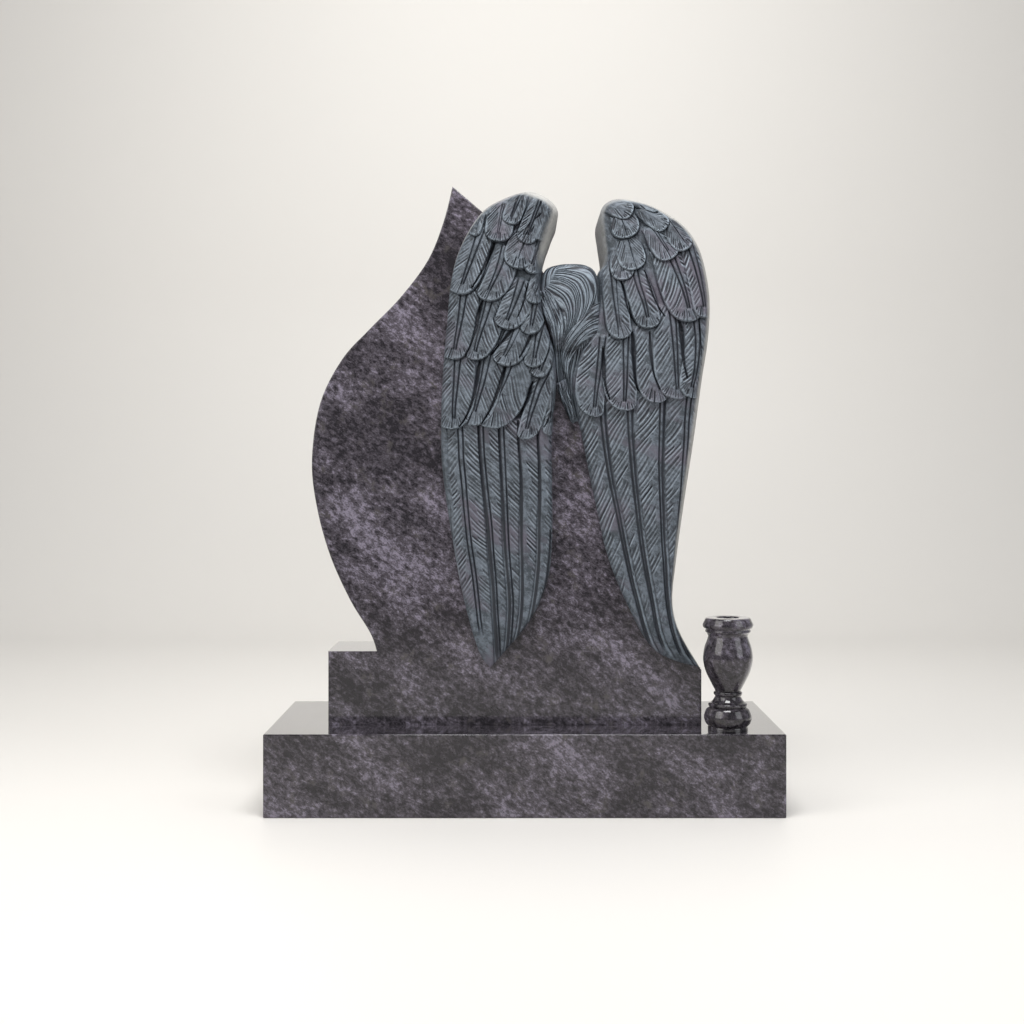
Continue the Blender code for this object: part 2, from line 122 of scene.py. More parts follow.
RIGHT_WING_SIDES = (
    [(77.6, 97.6), (73.9, 96.6), (72.5, 94.2), (73.1, 90.5), (73.8, 86.0), (71.9, 83.4), (71.7, 79.0),
     (70.1, 73.5), (66.9, 68.7), (65.0, 63.2), (68.2, 52.0), (71.2, 41.9), (74.6, 31.6), (80.0, 22.3),
     (87.5, 13.8), (99.8, 10.5)],
    [(77.6, 97.6), (83.5, 97.1), (89.6, 95.3), (95.5, 92.4), (99.3, 88.4), (101.4, 83.2), (102.2, 78.1),
     (101.7, 71.5), (99.9, 63.2), (97.9, 52.9), (95.5, 41.9), (93.3, 30.7), (92.3, 22.9), (94.2, 17.3),
     (99.8, 10.5)],
)

# Levels where the stone's outline goes from its point to the left wing, on to the head, on to the right wing and
# down to the slab's side
POINT_END = 94.7
HEAD_START = 84.2
HEAD_END = 83.6
WING_END = 11.2

# Each wing's rows of feathers from its tips upwards, each row with the grooves that are cut after it. A feather is
# (width of its left vane, width of its right vane, reach of its tip past its shaft, widths of the two lines beside
# the shaft, the shaft's line), and a groove is (width, depth, line)
LEFT_WING_ROWS = [
    ([
        (25, 36, 73, (2, 2), [(35.3, 56.6), (35.6, 52.9), (35.8, 49.2), (36.4, 45.0), (37.0, 40.0), (37.9, 33.9),
                              (38.9, 29.3), (39.7, 24.9), (40.5, 19.7), (41.3, 15.8)]),
        (7, 36, 48, (5, 2), [(40.9, 56.6), (41.1, 52.9), (41.5, 48.6), (42.3, 43.3), (43.3, 37.2), (43.9, 31.7),
                             (44.6, 26.2), (45.0, 21.2), (45.5, 16.0), (45.8, 10.8)]),
        (7, 36, 48, (4, 2), [(46.3, 56.6), (46.5, 53.4), (46.9, 48.1), (47.3, 42.4), (47.7, 36.1), (48.1, 31.5),
                             (48.8, 25.8), (49.1, 22.3), (48.8, 17.9), (48.3, 14.2), (47.4, 10.8)]),
        (7, 33, 75, (4, 0), [(51.5, 56.6), (51.6, 52.7), (52.0, 48.8), (52.3, 45.3), (52.3, 39.6), (52.3, 33.9),
                             (52.5, 26.9), (52.3, 21.9), (51.6, 17.9), (50.3, 14.2)]),
        (7, 33, 52, (4, 0), [(56.6, 56.6), (56.7, 52.9), (57.1, 47.7), (57.2, 41.8), (57.0, 37.2), (56.9, 31.5),
                             (56.4, 26.9), (55.5, 22.3), (54.2, 18.2), (52.4, 15.1)]),
    ], [
        (4.5, 3, [(59.4, 36.3), (59.3, 32.6), (59.0, 30.3), (58.3, 26.3), (56.8, 23.0), (55.2, 20.4),
                  (53.1, 18.6), (51.0, 16.6), (48.5, 14.7), (46.6, 13.1)]),
    ]),
    ([
        (12, 18, 18, (1, 2), [(60.7, 65.4), (60.4, 60.3), (59.6, 55.8)]),
        (13, 22, 16, (2, 2), [(58.3, 65.4), (56.3, 62.3), (55.2, 59.9), (54.2, 57.7), (53.1, 54.7)]),
        (13, 42, 27, (2, 2), [(49.2, 69.5), (48.3, 66.2), (47.0, 63.6), (45.4, 61.0), (43.9, 58.2)]),
        (13, 30, 21, (2, 2), [(43.4, 70.4), (42.6, 67.3), (41.4, 63.4), (40.3, 60.6), (39.3, 57.9)]),
        (28, 31, 15, (2, 2), [(35.3, 70.4), (34.8, 67.3), (34.3, 62.8), (33.9, 59.5), (33.8, 56.6)]),
    ], [
        (7.5, 5, [(41.3, 68.4), (40.7, 66.9), (39.9, 63.6), (39.0, 60.6), (37.9, 58.3), (36.5, 56.4),
                  (35.0, 55.1)]),
        (7.5, 5, [(47.9, 67.3), (47.5, 66.2), (46.7, 64.1), (45.5, 61.7), (43.9, 59.0), (42.5, 57.2),
                  (41.0, 55.6)]),
        (7.5, 5, [(54.8, 63.6), (54.2, 62.4), (53.5, 60.6), (52.4, 58.8), (51.4, 57.1), (50.3, 55.8)]),
        (4.5, 3, [(59.6, 58.0), (58.8, 56.4), (57.5, 54.9)]),
    ]),
    ([
        (13, 15, 10, (2, 2), [(58.6, 70.4), (57.5, 67.6), (56.6, 65.4)]),
        (15, 19, 13, (2, 2), [(57.2, 75.0), (55.9, 70.8), (55.1, 67.6)]),
        (16, 28, 13, (2, 1), [(51.9, 75.4), (50.4, 72.8), (48.8, 70.2), (47.1, 68.0)]),
        (13, 30, 12, (2, 2), [(43.9, 79.8), (43.0, 77.6), (42.2, 75.6), (41.0, 73.0), (40.0, 70.6), (39.5, 68.9)]),
        (28, 28, 14, (2, 2), [(36.9, 81.3), (36.2, 78.3), (35.7, 75.7), (35.0, 73.0), (34.4, 70.8), (34.1, 69.3)]),
    ], [
        (7.5, 5, [(41.8, 79.1), (41.0, 77.2), (40.3, 75.6), (39.7, 73.3), (38.7, 71.0), (37.8, 69.5),
                  (36.5, 68.2)]),
        (6.7, 5, [(50.6, 74.6), (48.7, 72.6), (46.9, 71.0), (45.3, 69.7), (43.4, 68.2)]),
        (6.0, 4, [(54.6, 73.0), (53.9, 71.5), (52.6, 69.5), (51.0, 67.6)]),
    ]),
    ([
        (16, 19, 12, (2, 2), [(56.4, 82.0), (55.4, 77.8), (54.3, 73.5)]),
        (19, 27, 12, (2, 2), [(51.9, 82.4), (50.0, 78.3), (47.9, 74.5)]),
        (16, 27, 15, (2, 2), [(47.7, 88.7), (45.8, 84.2), (43.1, 80.0)]),
        (25, 25, 15, (2, 2), [(41.5, 92.3), (38.6, 86.4), (36.0, 81.3)]),
    ], [
        (6.7, 5, [(45.3, 90.1), (43.7, 87.4), (42.3, 85.1), (40.2, 82.4), (38.3, 80.4)]),
        (4.5, 4, [(53.5, 81.3), (52.4, 78.1), (50.6, 75.0)]),
    ]),
    ([
        (13, 13, 10, (1, 1), [(57.0, 84.2), (55.1, 78.9)]),
        (13, 13, 10, (2, 2), [(56.4, 89.8), (54.6, 84.4)]),
        (22, 22, 13, (0, 1), [(53.0, 91.2), (50.6, 85.7)]),
        (12, 12, 10, (2, 0), [(58.6, 97.1), (56.4, 90.5)]),
        (16, 16, 12, (2, 2), [(57.0, 97.1), (53.2, 90.1)]),
        (22, 22, 10, (1, 1), [(47.1, 96.8), (45.5, 90.3)]),
        (15, 15, 10, (2, 2), [(51.9, 98.1), (49.0, 93.4)]),
        (9, 10, 9, (1, 1), [(41.0, 94.9), (39.4, 91.4)]),
    ], [
        (4.5, 2.5, [(50.6, 97.3), (49.8, 95.1), (48.9, 92.9)]),
        (3.7, 2.5, [(52.2, 97.7), (51.7, 94.9)]),
        (3.0, 2, [(46.9, 96.6), (46.4, 94.7)]),
        (3.0, 2, [(57.0, 96.6), (56.6, 95.1)]),
        (3.7, 2.5, [(57.0, 94.2), (55.0, 92.9)]),
        (4.5, 2.5, [(53.9, 92.3), (52.0, 90.0)]),
        (3.7, 2.5, [(55.1, 91.8), (53.2, 89.4)]),
        (3.0, 2, [(52.8, 89.2), (51.6, 87.0)]),
        (3.0, 2, [(56.3, 87.9), (54.1, 84.6)]),
        (3.0, 2, [(55.2, 81.6), (54.3, 80.0)]),
        (3.0, 2, [(56.2, 80.9), (55.1, 79.2)]),
    ]),
]

RIGHT_WING_ROWS = [
    ([
        (39, 18, 48, (2, 2), [(96.2, 61.2), (95.6, 56.6), (95.4, 52.9), (95.0, 48.8), (94.5, 43.7), (93.8, 38.1),
                              (93.3, 32.6), (93.0, 27.1), (93.1, 22.5), (93.9, 17.9), (95.5, 14.2), (98.4, 10.8)]),
        (48, 7, 54, (2, 3.5), [(89.1, 61.2), (88.9, 54.2), (88.7, 48.3), (88.9, 43.3), (89.2, 38.1), (89.5, 33.5),
                               (89.9, 29.8), (90.2, 25.6), (90.9, 21.2), (92.1, 17.1), (93.9, 13.8), (96.0, 11.6)]),
        (45, 7, 64, (3, 3), [(80.5, 61.2), (80.5, 58.0), (80.7, 54.2), (81.3, 48.8), (81.8, 45.1), (82.5, 40.9),
                             (83.5, 35.0), (84.5, 30.4), (85.6, 26.3), (86.7, 22.3), (87.8, 18.2), (89.1, 15.3),
                             (91.0, 12.9)]),
        (45, 7, 72, (3, 3), [(72.9, 61.2), (73.4, 56.9), (74.0, 52.9), (74.8, 48.8), (75.7, 45.1), (77.3, 39.8),
                             (78.8, 34.4), (80.0, 30.4), (81.3, 26.3), (82.8, 22.3), (84.2, 18.6), (85.7, 15.6),
                             (87.0, 13.8)]),
    ], []),
    ([
        (33, 15, 13, (2, 2), [(73.4, 72.1), (72.5, 66.7), (71.6, 62.1), (71.1, 58.6)]),
        (34, 19, 13, (2, 2), [(79.4, 73.9), (79.3, 67.6), (79.2, 63.0), (79.0, 59.7)]),
        (30, 16, 18, (0, 0), [(85.9, 76.9), (86.6, 69.5), (87.1, 64.3), (87.5, 61.7)]),
        (34, 18, 14, (2, 2), [(91.4, 77.8), (92.3, 70.4), (92.7, 64.9), (92.9, 61.9)]),
        (22, 18, 15, (2, 2), [(97.4, 77.2), (98.3, 71.3), (97.8, 65.8), (96.7, 62.3)]),
    ], [
        (7.5, 5, [(73.3, 69.8), (73.6, 65.8), (74.0, 62.8), (75.3, 59.9)]),
        (9.0, 5, [(81.0, 72.6), (81.4, 69.5), (81.6, 66.0), (82.2, 62.8), (83.8, 60.3)]),
        (5.2, 4, [(85.6, 72.6), (85.9, 68.7), (86.7, 64.9), (88.6, 61.7)]),
        (9.0, 5, [(93.4, 75.4), (94.1, 71.9), (94.6, 67.3), (95.6, 63.9)]),
        (3.0, 3, [(98.7, 74.1), (99.4, 67.6)]),
    ]),
    ([
        (19, 19, 16, (2, 1), [(75.8, 86.4), (76.4, 80.5), (77.0, 76.5), (77.6, 73.2)]),
        (22, 19, 15, (2, 2), [(80.9, 86.4), (82.5, 81.5), (84.1, 78.1), (85.1, 75.0)]),
        (34, 18, 19, (2, 2), [(89.9, 88.7), (92.3, 84.6), (94.5, 80.5), (95.9, 76.7)]),
        (18, 15, 15, (2, 2), [(95.5, 90.1), (97.9, 84.6), (99.5, 79.6), (100.0, 76.9)]),
    ], [
        (4.5, 4, [(77.7, 82.8), (78.9, 80.2), (79.6, 77.6), (80.8, 75.4), (82.5, 73.7)]),
        (4.5, 4, [(84.3, 83.9), (85.5, 81.3), (86.7, 78.9), (88.1, 76.9), (89.9, 75.2)]),
    ]),
    ([
        (18, 18, 12, (1, 1), [(77.7, 88.3), (78.5, 83.5)]),
        (21, 21, 10, (0, 1), [(79.3, 90.1), (81.4, 85.1)]),
        (21, 18, 12, (1, 1), [(85.9, 92.3), (90.5, 87.2)]),
        (18, 15, 10, (0, 1), [(90.2, 93.1), (94.7, 88.7)]),
        (22, 22, 10, (1, 0), [(78.0, 94.5), (79.6, 91.0)]),
        (15, 15, 9, (0, 0), [(82.8, 95.5), (88.9, 92.3)]),
        (16, 15, 10, (0, 0), [(72.6, 96.9), (79.6, 94.9)]),
        (9, 9, 4, (0, 0), [(80.1, 96.9), (87.5, 95.3)]),
    ], []),
]

# Bundles of hair: name, number of locks, and the two guide lines that they are spread between
HAIR = [
    ("crown", 14,
     [(57.8, 80.5), (59.4, 79.2), (61.2, 77.4), (62.5, 75.2), (62.8, 72.8), (61.5, 69.5)],
     [(60.7, 84.4), (63.9, 84.9), (67.6, 84.8), (70.3, 84.0), (71.7, 82.0), (71.6, 79.4), (69.7, 76.5),
      (66.8, 73.5), (63.6, 70.6)]),
    ("left_fall", 6,
     [(55.6, 80.2), (56.7, 77.6), (58.0, 75.4), (59.4, 73.2), (60.7, 70.0)],
     [(58.8, 80.5), (60.7, 78.5), (62.3, 76.3), (63.1, 73.9), (62.8, 71.0)]),
    ("right_sweep", 6,
     [(72.9, 78.5), (69.5, 76.9), (66.5, 74.6), (63.9, 72.1), (62.3, 69.5), (62.5, 66.7), (63.9, 63.9)],
     [(72.9, 72.4), (69.5, 71.3), (66.8, 69.5), (64.9, 67.3), (64.4, 65.4), (64.7, 63.2), (64.9, 62.1)]),
    ("tail", 4,
     [(60.9, 63.2), (62.3, 60.6), (63.9, 58.4), (65.5, 55.8)],
     [(63.6, 64.3), (64.4, 61.7), (65.7, 59.5), (66.8, 56.9)]),
]

LEFT_KINDS = ("long", "short", "short", "short", "small")
RIGHT_KINDS = ("long", "short", "short", "small")

# Each wing's own ways: half the width of a feather's rib at its root and its end, and how long its tip is on its
# left and right vane, in widths of the vane; how steep the barbs run, and how many millimetres apart along the
# shaft; which side of a feather lies on top; where its coverts end over the long feathers, in percent; how much
# lower it lies at its left side; how much brighter the painted highlights on its crests are made at its top, where
# light from above falls; how pale its left and right rims are, as (level in percent, share); and the width of those
# plain rolled rims, as (level in percent, millimetres)
LEFT_WING = {
    "sides": LEFT_WING_SIDES, "rows": LEFT_WING_ROWS, "kinds": LEFT_KINDS,
    "ribs": {"long": (3.6, 2.4), "short": (5.0, 1.6), "small": (2.2, 1.2)},
    "tips": {"long": (1.0, 1.0), "short": (0.6, 1.8), "small": (0.95, 0.95)},
    "barbs": {"long": (1.3, 7.2), "short": (1.6, 7.4), "small": (2.0, 6.0)}, "on_top": 1.0,
    "covert_foot": 51.5, "covert_sink": (59.0, 56.5), "long_top": 60.0, "long_sink": (56.3, 58.3),
    "low_left": 0.50, "painted_top_highlight": 0.0,
    "pale": ([(10, 0.45), (90, 0.45)], [(84, 0.0), (88, 0.9)]),
    "left_rim": [(10, 1.0), (80, 1.5), (88, 3.0), (94, 6.0)],
    "right_rim": [(10, 1.5), (78, 2.0), (86, 14.0), (94, 16.0)],
}
RIGHT_WING = {
    "sides": RIGHT_WING_SIDES, "rows": RIGHT_WING_ROWS, "kinds": RIGHT_KINDS,
    "ribs": {"long": (3.4, 1.0), "short": (4.6, 1.5), "small": (2.2, 1.2)},
    "tips": {"long": (1.0, 1.0), "short": (1.5, 0.7), "small": (0.95, 0.95)},
    "barbs": {"long": (1.66, 9.4), "short": (1.6, 8.4), "small": (2.0, 6.0)}, "on_top": -1.0,
    "covert_foot": 54.5, "covert_sink": (63.0, 60.5), "long_top": 66.0, "long_sink": (61.5, 63.5),
    "low_left": 0.25, "painted_top_highlight": 1.0,
    "pale": ([(83, 0.0), (88, 0.4)], [(10, 0.9), (90, 0.9)]),
    "left_rim": [(10, 1.0), (82, 1.5), (87, 7.0), (94, 10.0)],
    "right_rim": [(10, 2.0), (25, 5.0), (35, 9.0), (50, 11.0), (80, 11.0), (94, 10.0)],
}

# The bowed head: half an egg over the face
HEAD_CENTRE = (64.9, 77.1)
HEAD_HALF_WIDTH = 9.0
HEAD_HALF_HEIGHT = 8.5

# The hair over the head and the neck that trails below it: number of locks, and their two guide lines
NAPE = (18, [(64.8, 85.4), (61.2, 85.2), (58.1, 84.2), (56.9, 81.6), (57.0, 78.5), (58.6, 74.5), (60.4, 70.0),
             (60.9, 65.0), (62.6, 60.0), (65.0, 56.2)],
        [(64.8, 85.4), (68.4, 85.3), (70.9, 84.3), (72.1, 82.4), (72.4, 79.5), (72.4, 74.5), (70.8, 69.0),
         (67.6, 64.0), (67.2, 60.0), (67.4, 56.4)])

# Vase profile in percent of its radius and height: its rim, bead, body, stem, ball and foot
VASE_PARTS = (
    [(81, 100.0), (87, 99.6), (91, 98.6), (93, 97.2)],
    [(97, 95.6), (100, 93.4), (97, 91.0), (89, 89.8), (90, 87.6), (84, 86.2)],
    [(78, 83.4), (84, 79.0), (92, 74.0), (97.5, 66.5), (97, 60.5), (88, 52.0), (71, 43.6), (52, 35.6)],
    [(50, 34.6), (56, 33.4), (56, 31.6), (51, 30.2), (53, 28.6), (63, 25.4), (76, 23.6), (77, 21.6), (73, 20.4)],
    [(84, 18.6), (93, 13.6), (94, 10.2), (88, 6.0), (77, 3.2)],
    [(79, 2.2), (79, 0.0)],
)
VASE_SIDES = 96


# Sizes and colours that a user may change

def length(name, description, default):
    return FloatProperty(name=name, description=description, default=default, min=0.0, max=1.0, unit="LENGTH",
                         precision=4)


def power(name, description, default):
    return FloatProperty(name=name, description=description, default=default, min=0.0, unit="POWER")


def share(name, description, default, high=1.0):
    return FloatProperty(name=name, description=description, default=default, min=0.0, max=high, subtype="FACTOR")


def colour(name, description, default):
    return FloatVectorProperty(name=name, description=description, default=default, min=0.0, max=1.0, size=3,
                               subtype="COLOR")


class HeadstoneSizes(bpy.types.PropertyGroup):
    arris: length("Arris", "Width of the eased edges of the sawn blocks", 0.002)
    shoulder_rise: length("Shoulder Rise", "How far a wing's shoulder stands out from the face", 0.030)
    tip_rise: length("Tip Rise", "How far a wing's lowest tip stands out from the face", 0.009)
    feather_lift: length("Feather Lift", "How far a feather's tip stands over the one below it", 0.0055)
    feather_crown: length("Feather Crown", "Height of a feather's rounding across its width", 0.0022)
    shaft_cut: length("Shaft Cut", "Depth of the two lines beside a feather's shaft", 0.0028)
    barb_cut: length("Barb Cut", "Depth of the strokes across a feather", 0.0022)
    barb_width: length("Barb Width", "Width of one stroke", 0.0021)
    head_rise: length("Head Rise", "How far the bowed head stands out from the face", 0.030)
    lock_lift: length("Lock Lift", "How far the locks stand over the head", 0.003)
    strand_cut: length("Strand Cut", "Depth of the lines between strands of hair", 0.0030)
    vase_height: length("Vase Height", "Height of the turned vase", 0.166)
    vase_radius: length("Vase Radius", "Largest radius of the turned vase", 0.0374)
    bore_radius: length("Bore Radius", "Radius of the hole in the vase", 0.0167)
    bore_depth: length("Bore Depth", "Depth of the hole in the vase", 0.086)


class HeadstoneColours(bpy.types.PropertyGroup):
    dark: colour("Dark Grain", "Darkest mineral of the polished granite", (0.013, 0.011, 0.014))
    middle: colour("Middle Grain", "Ground colour of the polished granite", (0.055, 0.048, 0.058))
    light: colour("Light Grain", "Palest mineral of the polished granite", (0.182, 0.163, 0.208))
    olive: colour("Olive Grain", "Greenish mineral in the polished granite", (0.058, 0.052, 0.051))
    carved_dark: colour("Carved Dark", "Darker mineral of the carved granite", (0.026, 0.034, 0.043))
    carved_light: colour("Carved Light", "Paler mineral of the carved granite", (0.098, 0.117, 0.142))
    carved_violet: colour("Carved Violet", "Violet patches in the carved granite", (0.078, 0.069, 0.092))
    # Painted highlight: the bright colour laid on the crests of the carving and the hair, where they would catch
    # the light
    wear_and_highlight: colour("Crest Highlight", "Bright crests of the carving", (0.290, 0.345, 0.400))
    # Painted shade: the dark colour laid in the cuts of the carving and the hair and under the feathers' edges
    hollow_shade: colour("Hollow", "Painted shade in the cuts of the carving", (0.012, 0.015, 0.022))
    rim: colour("Rolled Rim", "Plain rolled rims of the carving", (0.385, 0.376, 0.354))
    polish: share("Roughness of Polish", "Roughness of the polished faces", 0.10)


class StudioSettings(bpy.types.PropertyGroup):
    floor: colour("Floor", "Colour of the floor and the backdrop", (0.70, 0.68, 0.65))
    key_power: power("Key Light", "Power of the large light", 52.0)
    fill_power: power("Fill Light", "Power of the light from the right", 28.0)
    top_power: power("Top Light", "Power of the light from above", 45.0)
    back_power: power("Backdrop Light", "Power of the light on the backdrop", 54.0)
    sky: share("Sky", "Brightness of the light from all sides", 0.28, 4.0)
    seen_sky: share("Seen Sky", "Brightness of the sky where it is seen past the backdrop", 0.85, 4.0)


# Lines and heights

def ease(t):
    t = np.clip(t, 0.0, 1.0)
    return t * t * (3 - 2 * t)


def bell(off, width):
    """A soft line: 1 in its middle, half at half its width."""
    return np.exp(-2.77 * (off / width) ** 2)


def pick(*keys):
    """A number from 0 to 1 that is the same for the same keys each time."""
    mixed = sum(np.asarray(key, float) * factor for key, factor in zip(keys, (12.9898, 78.233, 37.719, 4.581)))
    value = np.sin(mixed) * 43758.5453
    return value - np.floor(value)


def smooth_line(points, per_span, before=None):
    """A line that passes smoothly through the points, with per_span steps between two of them.

    It leaves the first point as if it had come from the point before, when that is given.
    """
    points = np.array(points, float)
    padded = np.vstack([points[:1] if before is None else [before], points, points[-1:]])
    t = np.linspace(0.0, 1.0, per_span, endpoint=False)[:, None]
    spans = []
    for a, b, c, d in zip(padded, padded[1:], padded[2:], padded[3:]):
        spans.append(0.5 * (2 * b + (c - a) * t + (2 * a - 5 * b + 4 * c - d) * t ** 2
                            + (3 * b - a - 3 * c + d) * t ** 3))
    return np.vstack(spans + [points[-1:]])


def at_level(points, level):
    """The value at a level, in percent, of a table of (level, value) pairs."""
    return np.interp(level, *np.array(points, float).T)


def smooth_sides(sides, per_span):
    """Both sides of a wing from its top down, with no corner where they meet at the top."""
    left, right = sides
    return [smooth_line(left, per_span, right[1]), smooth_line(right, per_span, left[1])]


def on_stone(points):
    """The x and z in metres of points drawn in percent of the stone's width and height."""
    points = np.atleast_2d(np.array(points, float))
    return np.column_stack([STONE_LEFT + points[:, 0] / 100 * STONE_WIDTH,
                            STONE_FOOT + points[:, 1] / 100 * STONE_HEIGHT])


def level_of(z):
    return (z - STONE_FOOT) / STONE_HEIGHT * 100


def beside(line, x, z):
    """How far along a line each point lies and how far to its right, and the line's length, in metres."""
    nearest = np.full(x.shape, np.inf)
    along = np.zeros_like(x)
    across = np.zeros_like(x)
    start = 0.0
    last = len(line) - 2
    for i, (a, b) in enumerate(zip(line, line[1:])):
        span = math.dist(a, b)
        dx, dz = (b - a) / span
        low = -np.inf if i == 0 else 0.0
        high = np.inf if i == last else span
        s = np.clip((x - a[0]) * dx + (z - a[1]) * dz, low, high)
        off_x = x - a[0] - s * dx
        off_z = z - a[1] - s * dz
        gap = np.hypot(off_x, off_z)
        nearer = gap < nearest
        nearest = np.where(nearer, gap, nearest)
        along = np.where(nearer, start + s, along)
        across = np.where(nearer, np.sign(off_z * dx - off_x * dz) * gap, across)
        start += span
    return along, across, start


def distance_to_outline(x, z, outline):
    nearest = np.full(x.shape, np.inf)
    for a, b in zip(outline, outline[1:]):
        dx, dz = b - a
        span = dx * dx + dz * dz
        if span > 0:
            t = np.clip(((x - a[0]) * dx + (z - a[1]) * dz) / span, 0.0, 1.0)
            nearest = np.minimum(nearest, (x - a[0] - t * dx) ** 2 + (z - a[1] - t * dz) ** 2)
    return np.sqrt(nearest)


def spread(t, width, first_round, last_round, rim):
    """Where shares t of a row of points lie over a width, close together where both ends roll over."""
    first = np.minimum(first_round, 0.4 * width)
    last = np.minimum(last_round, 0.4 * width)
    middle = first + (width - first - last) * (t - rim) / (1 - 2 * rim)
    start = first * (1 - np.cos(np.pi / 2 * np.clip(t / rim, 0, 1)))
    end = width - last * (1 - np.cos(np.pi / 2 * np.clip((1 - t) / rim, 0, 1)))
    return np.where(t < rim, start, np.where(t > 1 - rim, end, middle))


class Wing:
    """One wing's outline and the height of its body over the polished face."""

    def __init__(self, ways, sizes):
        self.ways = ways
        self.sizes = sizes
        self.sides = smooth_sides(ways["sides"], 12)
        self.top = self.sides[0][0, 1]
        self.foot = self.sides[0][-1, 1]
        self.outline = on_stone(np.vstack([self.sides[0], self.sides[1][::-1]]))

    def edges(self, level):
        """The x of both sides at a level, in metres, just inside the stone's own outline."""
        found = []
        for side, inwards in zip(self.sides, (1, -1)):
            falling = np.minimum.accumulate(side[:, 1])
            x = np.interp(level, falling[::-1], side[::-1, 0])
            found.append(STONE_LEFT + x / 100 * STONE_WIDTH + inwards * CARVING_INSET)
        middle = (found[0] + found[1]) / 2
        return np.minimum(found[0], middle), np.maximum(found[1], middle)

    def rounding(self, level):
        """How wide the wing's sides roll over at a level."""
        return SIDE_ROLL + SHOULDER_ROLL * ease((level - 68) / 18)

    def body(self, x, z):
        """The body's height, how much of the feathers' relief shows, and how pale the plain rims are."""
        level = level_of(z)
        left, right = self.edges(level)
        width = np.maximum(right - left, 1e-6)
        place = np.clip((x - left) / width, 0, 1)
        climb = ease((level - self.foot) / (0.8 * (self.top - self.foot)))
        crown = self.sizes.tip_rise + (self.sizes.shoulder_rise - self.sizes.tip_rise) * climb
        crown = crown * (1 - self.ways["low_left"] * (1 - ease(place / 0.6)))
        crown = crown * (0.25 + 0.75 * ease((level - self.foot) / 8))
        gap = np.minimum(distance_to_outline(x, z, self.outline), 0.1)
        inside = np.clip((gap - CARVING_INSET) / self.rounding(level), 0, 1)
        rims = [at_level(self.ways[key], level) * MM for key in ("left_rim", "right_rim")]
        turn = ease((x - (left + right) / 2) / (0.3 * np.maximum(width, 0.10)) + 0.5)
        rim = rims[0] + (rims[1] - rims[0]) * turn
        relief = ease((gap - 0.35 * rim) / (0.65 * rim))
        pales = [at_level(points, level) for points in self.ways["pale"]]
        pale = pales[0] + (pales[1] - pales[0]) * turn
        return crown * np.sqrt(1 - (1 - inside) ** 2), relief, (1 - relief) * pale


